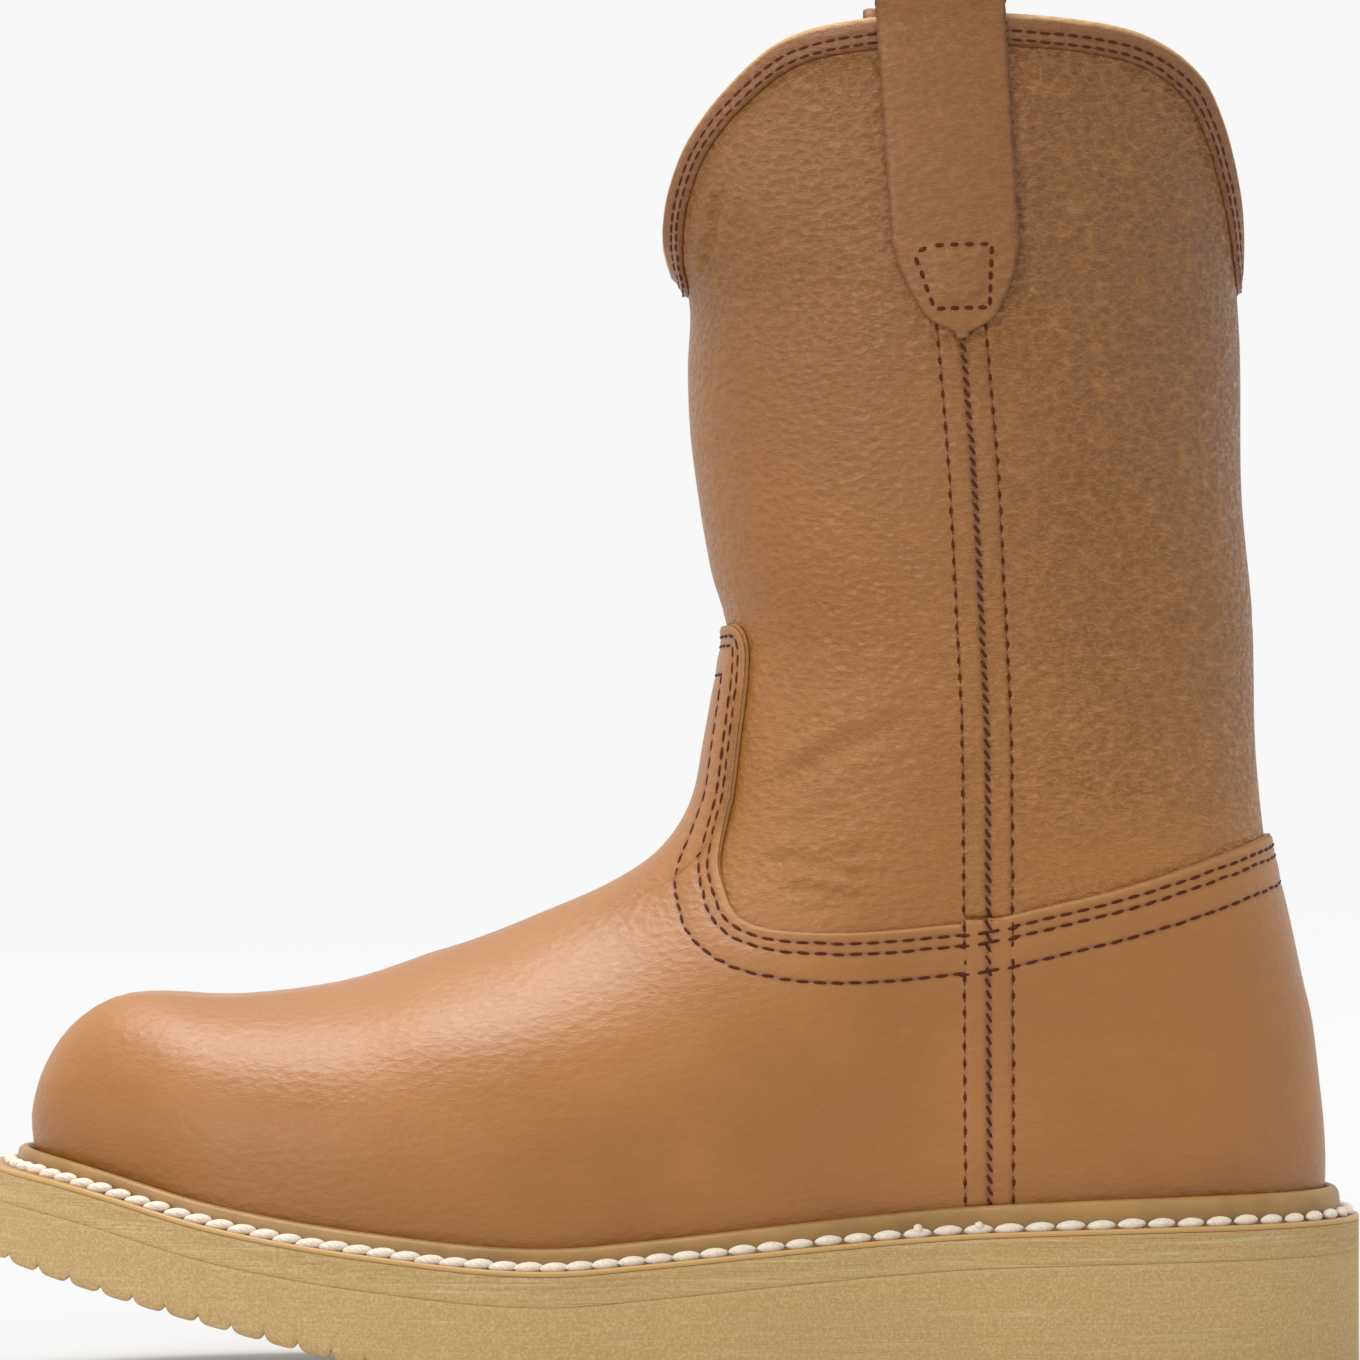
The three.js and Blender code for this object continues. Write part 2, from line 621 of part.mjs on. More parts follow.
addPiece("pull_strap_outer", strapGeometry(OUTER), TAN, 0.5);
addPiece("pull_strap_inner", strapGeometry(INNER), TAN, 0.5);

// Sole edge, worked out from the feather line
const SOLE_STEPS = 27;
const feather = featherRing(SOLE_STEPS);
const edgeOut = feather.map((_, j) => {
  const ahead = feather[(j + 1) % feather.length];
  const behind = feather[(j + feather.length - 1) % feather.length];
  return new THREE.Vector2(ahead.y - behind.y, behind.x - ahead.x).normalize();
});
const overhang = (j) => {
  const turn = (180 * Math.min(j, 2 * SOLE_STEPS - j)) / SOLE_STEPS;
  const front = lerp(TOE_OVERHANG, SIDE_OVERHANG, smoothstep(turn, 12, 60));
  return OVERLAY_FACE + FEATHER_TUCK + lerp(front, HEEL_OVERHANG, smoothstep(turn, 130, 175));
};
function weltRing(distance, share, height) {
  return feather.map((point, j) => {
    const reach = distance + share * overhang(j);
    const x = point.x + edgeOut[j].x * reach;
    const seat = share === 0 ? soleTop(point.x) : soleTop(x);
    const rise = height > 0 ? (height / RIDGE_HEIGHT) * (ridgeTop(x) - soleTop(x)) : height;
    const z = seat + rise;
    return new THREE.Vector3(x, point.y + edgeOut[j].y * reach, z);
  });
}

// Welt: a flange with a rounded ridge, [distance from the feather, share of the overhang, height]
const ridgeIn = OVERLAY_FACE + FEATHER_LIFT;
const ridgeOut = ridgeIn + RIDGE_WIDTH;
const weltIn = -LEATHER - FEATHER_LEDGE;
const weltSection = [
  [0, 1, -WELT], [0, 1, -FLANGE_CHAMFER], [-FLANGE_CHAMFER, 1, 0],
  [ridgeOut + FLANGE_CHAMFER, 0, 0], [ridgeOut, 0, RIDGE_HEIGHT * 0.45],
  [ridgeOut - RIDGE_WIDTH * 0.28, 0, RIDGE_HEIGHT * 0.88],
  [ridgeOut - RIDGE_WIDTH * 0.55, 0, RIDGE_HEIGHT], [ridgeIn + FEATHER_TUCK, 0, RIDGE_HEIGHT * 0.8],
  [ridgeIn + FEATHER_TUCK * 0.8, 0, RIDGE_HEIGHT * 0.5], [ridgeIn, 0, 0],
  [weltIn, 0, 0], [weltIn, 0, -WELT],
];
addPiece("welt", skin(weltSection.map((row) => weltRing(...row)), false), RUBBER, 0.6);

// Insole: sits inside the welt on the midsole, its upper step covers the welt's inner edge
const insoleRing = (distance, height) =>
  base[0].map((point, j) => {
    const x = point.x + outward[0][j].x * distance;
    return new THREE.Vector3(x, point.y + outward[0][j].y * distance, soleTop(point.x) + height);
  });
const insoleIn = weltIn - 3 * GAP;
const insoleOut = -LEATHER - 2 * GAP;
addPiece(
  "insole",
  skin([
    insoleRing(insoleIn, -WELT), insoleRing(insoleIn, GAP),
    insoleRing(insoleOut, GAP), insoleRing(insoleOut, INSOLE),
  ], true),
  TAN, 0.7,
);

// Midsole and outsole: the sole's outline, cut to their side profiles
const soleOutline = feather.map((point, j) => {
  const reach = overhang(j);
  return new THREE.Vector2(point.x + edgeOut[j].x * reach, point.y + edgeOut[j].y * reach);
});
const soleBlock = (() => {
  const depth = 2 * HEEL_STACK;
  const shape = new THREE.Shape(soleOutline);
  const geometry = new THREE.ExtrudeGeometry(shape, { depth, bevelEnabled: false });
  return solid(geometry.translate(0, 0, -depth / 4));
})();
const PROFILE_STEPS = 36;
const profileStart = SOLE_TOE_X - 1;
const profileEnd = SOLE_TOE_X + SOLE_LENGTH + 1;
const profileX = between(profileStart, profileEnd, PROFILE_STEPS);
const topProfile = (drop) => profileX.map((x) => [x, soleTop(x) - drop]);
const soleLayer = (points) =>
  geometryOf(soleBlock.intersect(plate(points, -BALL_WIDTH, BALL_WIDTH)));
const midsoleTop = WELT + GAP;
const midsoleBottom = midsoleTop + MIDSOLE;
addPiece(
  "midsole",
  soleLayer([...topProfile(midsoleBottom), ...topProfile(midsoleTop).reverse()]),
  RUBBER, 0.8,
);

// Underside: flat from the ball back, rising to the toe, with a bar and a notch at each pitch
function soleBottom(x) {
  const ahead = SOLE_TOE_X + SPRING_START - x;
  if (ahead <= 0) return 0;
  if (ahead < SPRING_BEND) return (SPRING_SLOPE * ahead * ahead) / (2 * SPRING_BEND);
  return SPRING_SLOPE * (ahead - SPRING_BEND / 2);
}
const bars = Math.floor(SOLE_LENGTH / TREAD_PITCH);
const firstNotch = SOLE_TOE_X + (SOLE_LENGTH - (bars - 1) * TREAD_PITCH) / 2;
const tread = Array.from({ length: bars }, (_, k) => firstNotch + k * TREAD_PITCH).flatMap((x) => [
  [x - TREAD_NOTCH / 2, soleBottom(x - TREAD_NOTCH / 2)],
  [x, soleBottom(x) + TREAD_DEPTH],
  [x + TREAD_NOTCH / 2, soleBottom(x + TREAD_NOTCH / 2)],
]);
addPiece(
  "outsole",
  soleLayer([
    [profileStart, soleBottom(profileStart)], ...tread, [profileEnd, 0],
    ...topProfile(midsoleBottom + GAP).reverse(),
  ]),
  RUBBER, 0.85,
);

// The sole's outline is centred on Y = 0
const soleY = soleOutline.map((point) => point.y);
boot.position.y = -(Math.min(...soleY) + Math.max(...soleY)) / 2;

export default boot;
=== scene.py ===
import logging
import math
from dataclasses import dataclass, field
from enum import Enum
from functools import cached_property
from typing import Callable, Mapping, Optional, Sequence, Union

import bpy
import numpy as np
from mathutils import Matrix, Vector
from mathutils.bvhtree import BVHTree


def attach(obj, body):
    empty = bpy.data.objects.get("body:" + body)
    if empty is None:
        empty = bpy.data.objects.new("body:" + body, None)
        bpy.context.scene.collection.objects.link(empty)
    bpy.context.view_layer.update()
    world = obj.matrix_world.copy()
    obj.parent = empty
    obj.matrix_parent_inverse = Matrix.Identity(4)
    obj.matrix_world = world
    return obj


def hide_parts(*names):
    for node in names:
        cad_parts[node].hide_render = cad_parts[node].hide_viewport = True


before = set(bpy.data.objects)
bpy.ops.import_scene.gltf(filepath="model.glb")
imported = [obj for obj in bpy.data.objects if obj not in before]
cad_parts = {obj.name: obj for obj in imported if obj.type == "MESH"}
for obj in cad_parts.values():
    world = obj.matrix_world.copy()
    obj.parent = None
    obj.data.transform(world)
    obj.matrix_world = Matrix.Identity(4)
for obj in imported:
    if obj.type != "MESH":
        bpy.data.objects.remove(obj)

# Looks of a left pull-on work boot. Shapes are worked out in millimetres in the packed
# frame: the toe points to -X, the outer side faces -Y and the ground is Z = 0.

LOG = logging.getLogger("work_boot")
MM = 0.001
OUTER = -1
INNER = 1

Array = np.ndarray
Number = Union[float, Array]
Rows = Sequence[Sequence[float]]
Faces = Sequence[Sequence[int]]
Stops = Sequence[tuple[float, Sequence[float]]]
Draw = np.random.Generator
Piece = bpy.types.Object
Material = bpy.types.Material


def smoothstep(x: Number, low: float, high: float) -> Number:
    """Ease from 0 at low to 1 at high."""
    t = np.clip((np.asarray(x, float) - low) / (high - low), 0.0, 1.0)
    return t * t * (3 - 2 * t)


def lerp(a: Number, b: Number, t: Number) -> Number:
    """Value at share t of the way from a to b."""
    return a + (b - a) * t


def unit(vectors: Array) -> Array:
    """Vectors along the last axis, each at length one."""
    return vectors / np.maximum(np.linalg.norm(vectors, axis=-1, keepdims=True), 1e-12)


def bell(x: Number, width: float) -> Number:
    """A soft bump of height one at x = 0."""
    return np.exp(-((x / width) ** 2))


class Curve:
    """A smooth function through two columns of a table."""

    def __init__(self, rows: Rows, value: int = 1) -> None:
        """Fit slopes through the rows.

        Args:
            rows: Table rows whose first column rises.
            value: Index of the column that holds the value.
        """
        self.at = np.array([row[0] for row in rows], float)
        self.value = np.array([row[value] for row in rows], float)
        before = np.maximum(np.arange(len(rows)) - 1, 0)
        after = np.minimum(np.arange(len(rows)) + 1, len(rows) - 1)
        self.slope = (self.value[after] - self.value[before]) / (self.at[after] - self.at[before])

    def __call__(self, at: Number) -> Array:
        """Value at a place, held level past both ends."""
        at = np.asarray(at, float)
        i = np.clip(np.searchsorted(self.at, at, side="left") - 1, 0, len(self.at) - 2)
        step = self.at[i + 1] - self.at[i]
        t = np.clip((at - self.at[i]) / step, 0, 1)
        rise = t * t * (3 - 2 * t)
        entry = t * (1 - t) ** 2 * step * self.slope[i]
        leave = t * t * (t - 1) * step * self.slope[i + 1]
        return lerp(self.value[i], self.value[i + 1], rise) + entry + leave


# The tables below repeat the solids' own lines, in shares of their driving sizes.
SOLE_TOP = (
    (0, 1.315), (0.052, 1.25), (0.094, 1.176), (0.167, 1.021), (0.238, 0.915),
    (0.308, 0.84), (0.366, 0.79), (0.42, 0.774), (0.478, 0.806), (0.561, 0.87),
    (0.66, 0.936), (0.73, 0.971), (0.846, 0.997), (1, 1),
)
OUTLINE = (
    (0, 0, 0), (15, 0.157, 0.147), (30, 0.304, 0.284), (45, 0.436, 0.382), (60, 0.519, 0.44),
    (75, 0.535, 0.447), (90, 0.465, 0.374), (105, 0.462, 0.362), (120, 0.517, 0.461),
    (135, 0.5, 0.493), (150, 0.389, 0.389), (165, 0.211, 0.211), (180, 0, 0),
)
# Front of each section, its front and back heights, and its share of the feather's dip
SECTIONS = (
    (0.004, 0.003, 0.002, 1), (0.0007, 0.04, 0.047, 0.85), (0, 0.078, 0.087, 0.72),
    (0.0035, 0.128, 0.125, 0.62), (0.0125, 0.186, 0.16, 0.5), (0.0305, 0.255, 0.196, 0.4),
    (0.0585, 0.31, 0.23, 0.3), (0.098, 0.338, 0.26, 0.22), (0.148, 0.3535, 0.29, 0.15),
    (0.2, 0.371, 0.316, 0.08), (0.253, 0.4, 0.341, 0.03), (0.308, 0.44, 0.367, 0),
    (0.363, 0.484, 0.392, 0), (0.41, 0.524, 0.418, 0), (0.455, 0.563, 0.446, 0),
    (0.484, 0.598, 0.475, 0), (0.5045, 0.645, 0.512, 0), (0.519, 0.705, 0.57, 0),
    (0.527, 0.784, 0.655, 0), (0.5335, 0.862, 0.765, 0), (0.5391, 0.945, 0.9, 0),
    (0.534, 1, 1, 0),
)
BACK_LINE = (
    (0, 0.996), (0.06, 1), (0.134, 1), (0.219, 0.9962), (0.319, 0.99), (0.385, 0.9822),
    (0.451, 0.9749), (0.518, 0.9674), (0.568, 0.9619), (0.617, 0.9588), (0.716, 0.9554),
    (0.818, 0.9523), (1, 0.9472), (1.156, 0.943), (1.295, 0.941), (1.45, 0.9386),
    (1.56, 0.9365), (1.603, 0.939), (1.664, 0.945), (1.725, 0.95), (1.8, 0.953), (2, 0.952),
)
SHAFT_FRONT = (
    (1, 0.534), (1.05, 0.5265), (1.084, 0.523), (1.168, 0.517), (1.29, 0.5117), (1.42, 0.5096),
    (1.542, 0.508), (1.603, 0.4935), (1.664, 0.479), (1.725, 0.4725), (1.8, 0.4725),
    (1.878, 0.479), (1.954, 0.485), (2, 0.489),
)
LEG = (
    (0, 0.35), (0.454, 0.358), (0.6, 0.373), (0.745, 0.392), (0.89, 0.415), (1, 0.434),
    (1.19, 0.462), (1.42, 0.486), (1.65, 0.495), (2, 0.5),
)
COLLAR = (
    (0, 0.895), (6, 0.875), (11, 0.82), (20, 0.71), (26, 0.59), (32.3, 0.433), (40.4, 0.265),
    (53, 0.09), (68, 0.022), (90, 0), (112, 0.022), (127, 0.075), (141, 0.205), (147.8, 0.35),
    (152.8, 0.49), (158.8, 0.63), (166.7, 0.77), (174, 0.85), (180, 0.875),
)
SEAM_LINE = (
    (0, 0.738), (0.5, 0.737), (0.78, 0.7354), (1, 0.7303), (1.24, 0.7238), (1.47, 0.7148),
    (1.63, 0.7097), (1.85, 0.7032), (2, 0.6987),
)
VAMP_LINE = (
    (0.5339, 0.971), (0.5456, 0.975), (0.554, 0.951), (0.5556, 0.9), (0.5529, 0.806),
    (0.5415, 0.668), (0.5335, 0.59), (0.5354, 0.553), (0.5453, 0.502), (0.5645, 0.481),
    (0.6, 0.473), (0.6395, 0.474), (0.7374, 0.494),
)
COUNTER_LINE = ((0.7374, 0.494), (0.7865, 0.519), (0.8573, 0.557), (0.9584, 0.628))
STRAP_END = ((0, 0.1), (0.055, 0.26), (0.135, 0.48), (0.355, 0.69), (0.685, 0.89), (1, 1))


@dataclass
class BootForm:
    """The boot's form, worked out from the last, the shaft and the sole."""

    last_length: float = 291.4
    ball_width: float = 102.0
    heel_width: float = 72.0
    ankle_rise: float = 137.4
    shaft_height: float = 130.0
    shaft_width: float = 106.0
    scallop_depth: float = 60.0
    toe_shift: float = 5.0
    feather_tuck: float = 1.2
    leather: float = 2.0
    overlay: float = 1.6
    gap: float = 0.3
    heel_stack: float = 37.6
    toe_overhang: float = 9.7
    side_overhang: float = 7.4
    heel_overhang: float = 7.5
    toe_crown: float = 2.4
    instep_crown: float = 1.9
    lean_ends: float = 0.187
    pivot: float = 0.342
    lean_starts: float = 0.565
    middle: float = 0.7
    widest_at_toe: float = 0.083
    widest_at_pivot: float = 0.15

    def __post_init__(self) -> None:
        """Work out the lines that everything else is measured from."""
        self.toe_x = -self.last_length / 2 + (self.toe_overhang - self.heel_overhang) / 2
        self.heel_x = self.toe_x + self.last_length
        self.face = self.gap + self.overlay
        self.sole_toe_x = self.toe_x - self.face - self.toe_overhang
        self.sole_length = self.heel_x + self.face + self.heel_overhang - self.sole_toe_x
        self.ankle_z = self.heel_stack + self.ankle_rise
        self.collar_top = self.ankle_z + self.shaft_height
        self.top_row = len(SECTIONS) - 1
        self.curves = {
            "sole": Curve(SOLE_TOP), "back": Curve(BACK_LINE), "front": Curve(SHAFT_FRONT),
            "leg": Curve(LEG), "seam": Curve(SEAM_LINE), "collar": Curve(COLLAR),
            "outer": Curve(OUTLINE, 1), "inner": Curve(OUTLINE, 2),
        }
        rows = [(i, *section) for i, section in enumerate(SECTIONS)]
        self.row_front = Curve(rows, 1)
        self.row_height = Curve(rows, 2)
        self.row_back = Curve(rows, 3)
        self.row_dip = Curve(rows, 4)
        self.pivot_x = self.length_x(self.pivot)
        first_free, samples = 2, 400
        x, z = self.front_point(np.linspace(first_free, self.top_row, samples))
        low = x <= self.length_x(0.5)
        self.ridge_line = (x[low], z[low])
        high = x >= self.pivot_x
        turn = np.arctan2(x[high] - self.pivot_x, self.ankle_z - z[high])
        reach = np.hypot(x[high] - self.pivot_x, self.ankle_z - z[high])
        self.fan_line = (turn, reach)

    def length_x(self, share: Number) -> Number:
        """Place along the last, from the toe."""
        return self.toe_x + share * self.last_length

    def level(self, z: Number) -> Array:
        """Level of a height: 0 at the sole, 1 at the ankle's bend and 2 at the collar."""
        low = (z - self.heel_stack) / self.ankle_rise
        return np.where(z < self.ankle_z, low, 1 + (z - self.ankle_z) / self.shaft_height)

    def level_z(self, level: Number) -> Array:
        """Height of a level."""
        low = self.heel_stack + level * self.ankle_rise
        return np.where(np.asarray(level) < 1, low, self.ankle_z + (level - 1) * self.shaft_height)

    def sole_top(self, x: Number) -> Array:
        """Height of the sole's top."""
        return self.heel_stack * self.curves["sole"]((x - self.sole_toe_x) / self.sole_length)

    def back_x(self, z: Number) -> Array:
        """Back line of the boot."""
        return self.length_x(self.curves["back"](self.level(z)))

    def shaft_front_x(self, z: Number) -> Array:
        """Front line of the shaft."""
        return self.length_x(self.curves["front"](self.level(z)))

    def seam_x(self, z: Number) -> Array:
        """Centre of the side seam."""
        return self.length_x(self.curves["seam"](self.level(z)))

    def collar_z(self, turn: Number) -> Array:
        """Height of the collar's edge at a turn from the front, in degrees."""
        return self.collar_top - self.scallop_depth * self.curves["collar"](turn)

    def front_point(self, row: Number) -> tuple[Array, Array]:
        """Front of a section of foot and ankle."""
        x = self.length_x(self.row_front(row))
        return x, lerp(self.sole_top(x), self.ankle_z, self.row_height(row))

    def axis_y(self, x: Number) -> Array:
        """The foot's axis, which leans to the inner side at the toe."""
        starts, ends = -self.length_x(self.lean_starts), -self.length_x(self.lean_ends)
        return self.toe_shift * smoothstep(-np.asarray(x), starts, ends)

    def outline_half(self, side: Number, x: Number) -> Array:
        """Half width of the last in plan, on one side."""
        along = np.clip((x - self.toe_x) / self.last_length, 0, 1)
        turn = np.degrees(np.arccos(1 - 2 * along))
        outer, inner = self.curves["outer"](turn), self.curves["inner"](turn)
        share = np.where(np.asarray(side) < 0, outer, inner)
        return share * lerp(self.ball_width, self.heel_width, smoothstep(turn, 90, 120))

    def widest_rise(self, x: Number) -> Array:
        """Height of the widest line above the sole."""
        share = smoothstep(x, self.toe_x, self.pivot_x)
        return self.ankle_rise * lerp(self.widest_at_toe, self.widest_at_pivot, share)

    def tuck_share(self, x: Number, z: Number) -> Array:
        """How far the wall leans in below its widest line."""
        return np.clip(1 - (z - self.sole_top(x)) / self.widest_rise(x), 0, 1) ** 2

    def half_width(self, side: Number, x: Number, z: Number) -> Array:
        """Half width of the upper at a point of its side view."""
        middle = self.length_x(self.middle)
        leg_starts, leg_ends, heel_round, heel_round_ends = 0.27, 0.71, 0.7, 0.38
        front_end = self.toe_x + self.feather_tuck * self.tuck_share(self.toe_x, z)
        behind = x > middle
        end = np.where(behind, self.heel_x, self.toe_x)
        end_here = np.where(behind, self.back_x(z), front_end)
        plan_x = middle + (x - middle) * (end - middle) / (end_here - middle)
        tuck = 2 * self.feather_tuck / self.ball_width * self.tuck_share(x, z)
        foot = self.outline_half(side, plan_x) * (1 - tuck)
        depth = float(self.back_x(self.ankle_z) - self.shaft_front_x(self.ankle_z)) / 2
        level = self.level(z)
        low_reach = lerp(heel_round * depth, depth, smoothstep(level, heel_round_ends, 1))
        shaft_reach = (self.back_x(z) - self.shaft_front_x(z)) / 2
        reach = np.where(z < self.ankle_z, low_reach, shaft_reach)
        from_back = np.clip((self.back_x(z) - x) / reach, 0, 1)
        leg = self.shaft_width * self.curves["leg"](level) * np.sqrt(1 - (1 - from_back) ** 2)
        body = lerp(foot, leg, smoothstep(level, leg_starts, leg_ends))
        return body * self.crown(x, z, depth)

    def crown(self, x: Array, z: Array, ankle_depth: float) -> Array:
        """Share of the full width left near the front line."""
        shaft_crown = 2.0
        reach = (self.back_x(z) - self.shaft_front_x(z)) / 2
        shaft = self.rounded((x - self.shaft_front_x(z)) / reach, shaft_crown)
        upright = float(self.sole_top(self.pivot_x) + self.widest_rise(self.pivot_x))
        instep_depth = float(np.interp(self.pivot_x, *self.ridge_line)) - upright
        ridge = np.interp(x, *self.ridge_line)
        depth = np.maximum(ridge - self.sole_top(x) - self.widest_rise(x), self.gap)
        power = lerp(self.toe_crown, self.instep_crown, smoothstep(x, self.toe_x, self.pivot_x))
        toe = self.rounded((ridge - z) / depth, power)
        turn = np.arctan2(x - self.pivot_x, self.ankle_z - z)
        outside = np.hypot(x - self.pivot_x, self.ankle_z - z) - np.interp(turn, *self.fan_line)
        share = turn / (math.pi / 2)
        fan_depth = lerp(instep_depth, ankle_depth, share)
        fan = self.rounded(outside / fan_depth, lerp(self.instep_crown, shaft_crown, share))
        return np.where(z >= self.ankle_z, shaft, np.where(x < self.pivot_x, toe, fan))

    @staticmethod
    def rounded(share: Array, power: Number) -> Array:
        """Quarter of a superellipse: 0 at the edge, 1 from the full depth on."""
        return np.sqrt(1 - (1 - np.clip(share, 0, 1)) ** power)

    def side_point(self, side: Number, x: Array, z: Array) -> Array:
        """Point of the upper over a place of its side view."""
        y = self.axis_y(x) + side * self.half_width(side, x, z)
        return np.stack(np.broadcast_arrays(x, y, z), -1)

    def point(self, side: Number, share: Array, row: Array) -> Array:
        """Point of the upper's outside.

        Args:
            side: Outer or inner side, for each point.
            share: Place from the front line, 0, to the back line, 1.
            row: Section number; past the last section it is a share of the shaft's height.

        Returns:
            Points, in millimetres.
        """
        side, share, row = np.broadcast_arrays(np.asarray(side, float), share, row)
        low = np.minimum(row, self.top_row)
        x0, z0 = self.front_point(low)
        x0 = np.maximum(x0, self.toe_x + self.feather_tuck * self.tuck_share(self.toe_x, z0))
        z1 = self.level_z(self.row_back(low))
        low_x, low_z = self.front_point(0.0)
        x = lerp(x0, self.back_x(z1), share)
        chord = lerp(low_z, self.heel_stack, (x - low_x) / (self.back_x(self.heel_stack) - low_x))
        z = lerp(z0, z1, share) + self.row_dip(low) * (self.sole_top(x) - chord)
        turn = np.degrees(np.arccos(1 - 2 * np.clip(share, 0, 1)))
        shaft_z = lerp(self.ankle_z, self.collar_z(turn), row - self.top_row)
        shaft_x = lerp(self.shaft_front_x(shaft_z), self.back_x(shaft_z), share)
        above = row > self.top_row
        x, z = np.where(above, shaft_x, x), np.where(above, shaft_z, z)
        points = self.side_point(side, x, z)
        ends = (share <= 0) | (share >= 1)
        points[..., 1] = np.where(ends, self.axis_y(x), points[..., 1])
        return points

    def seam_share(self, row: Array) -> Array:
        """Share from front to back at which the side seam crosses a row."""
        tries, end = 12, 0.05
        share = np.full(np.shape(row), 0.5)
        above = np.asarray(row) > self.top_row
        for _ in range(tries):
            z = self.point(OUTER, share, row)[..., 2]
            front = self.point(OUTER, np.zeros_like(share), row)[..., 0]
            back = self.point(OUTER, np.ones_like(share), row)[..., 0]
            front = np.where(above, self.shaft_front_x(z), front)
            back = np.where(above, self.back_x(z), back)
            share = np.clip((self.seam_x(z) - front) / (back - front), end, 1 - end)
        return share

    def feather(self, turns: Array, sides: Array) -> Array:
        """The line where the upper meets the sole, at turns from the toe in degrees."""
        back = (1 - np.cos(np.radians(turns))) / 2
        x = lerp(float(self.front_point(0.0)[0]), float(self.back_x(self.heel_stack)), back)
        z = self.sole_top(x) + 1.8 * self.gap
        points = self.side_point(sides, x, z)
        ends = (turns <= 0) | (turns >= 180)
        points[..., 1] = np.where(ends, self.axis_y(x), points[..., 1])
        return points

    def overhang(self, turns: Array) -> Array:
        """Distance from the feather line to the sole's edge."""
        front = lerp(self.toe_overhang, self.side_overhang, smoothstep(turns, 12, 60))
        body = lerp(front, self.heel_overhang, smoothstep(turns, 130, 175))
        return self.face + self.feather_tuck + body

    @cached_property
    def shift(self) -> float:
        """Sideways move that centres the sole's outline on Y = 0."""
        outline = EdgeRing(self, 27).outline()
        return -(outline[:, 1].min() + outline[:, 1].max()) / 2


class EdgeRing:
    """The feather line as a closed ring, with its outward directions in plan."""

    def __init__(self, form: BootForm, steps: int) -> None:
        """Take points from the toe round the outer side to the heel and back.

        Args:
            form: The boot's form.
            steps: Points on each side.
        """
        index = np.arange(2 * steps)
        self.form = form
        self.sides = np.where(index <= steps, OUTER, INNER)
        self.turns = 180 * np.minimum(index, 2 * steps - index) / steps
        self.points = form.feather(self.turns, self.sides)
        ahead, behind = np.roll(self.points, -1, 0), np.roll(self.points, 1, 0)
        self.out = unit(np.stack([ahead[:, 1] - behind[:, 1], behind[:, 0] - ahead[:, 0]], -1))
        self.reach = form.overhang(self.turns)

    def outline(self) -> Array:
        """The sole's outline in plan."""
        return self.points[:, :2] + self.out * self.reach[:, None]

    def ring(self, distance: float, share: float, rise: Callable[[Array], Array]) -> Array:
        """A ring beside the feather line.

        Args:
            distance: Distance outwards from the feather line.
            share: Share of the overhang added to the distance.
            rise: Height above the sole's top, from the place along the boot.

        Returns:
            Points of the ring.
        """
        flat = self.points[:, :2] + self.out * (distance + share * self.reach)[:, None]
        return np.column_stack([flat, self.form.sole_top(flat[:, 0]) + rise(flat[:, 0])])


@dataclass(frozen=True)
class Fold:
    """A crease in the leather, along a line of the side view."""

    line: tuple[tuple[float, float], ...]
    depth: float
    width: float
    side: int = 0

    def relief(self, side: Array, x: Array, z: Array) -> Array:
        """Outward movement that the crease gives to the leather."""
        near = np.full(np.shape(x), 1e9)
        signed = np.zeros(np.shape(x))
        along = np.zeros(np.shape(x))
        points = np.array(self.line, float)
        lengths = np.linalg.norm(np.diff(points, axis=0), axis=1)
        done = 0.0
        for start, end, length in zip(points[:-1], points[1:], lengths):
            dx, dz = (end - start) / length
            run = np.clip((x - start[0]) * dx + (z - start[1]) * dz, 0, length)
            off_x, off_z = x - start[0] - run * dx, z - start[1] - run * dz
            distance = np.hypot(off_x, off_z)
            closer = distance < near
            sign = np.sign(off_z * dx - off_x * dz)
            near = np.where(closer, distance, near)
            signed = np.where(closer, distance * sign, signed)
            along = np.where(closer, (done + run) / lengths.sum(), along)
            done += length
        taper = smoothstep(along, 0, 0.3) * smoothstep(1 - along, 0, 0.3)
        trough = -bell(near, self.width)
        ridges = 0.5 * bell(signed - 1.8 * self.width, 1.2 * self.width)
        ridges = ridges + 0.25 * bell(signed + 1.8 * self.width, 1.2 * self.width)
        here = (np.asarray(side) == self.side) | (self.side == 0)
        return np.where(here, self.depth * taper * (trough + ridges), 0.0)


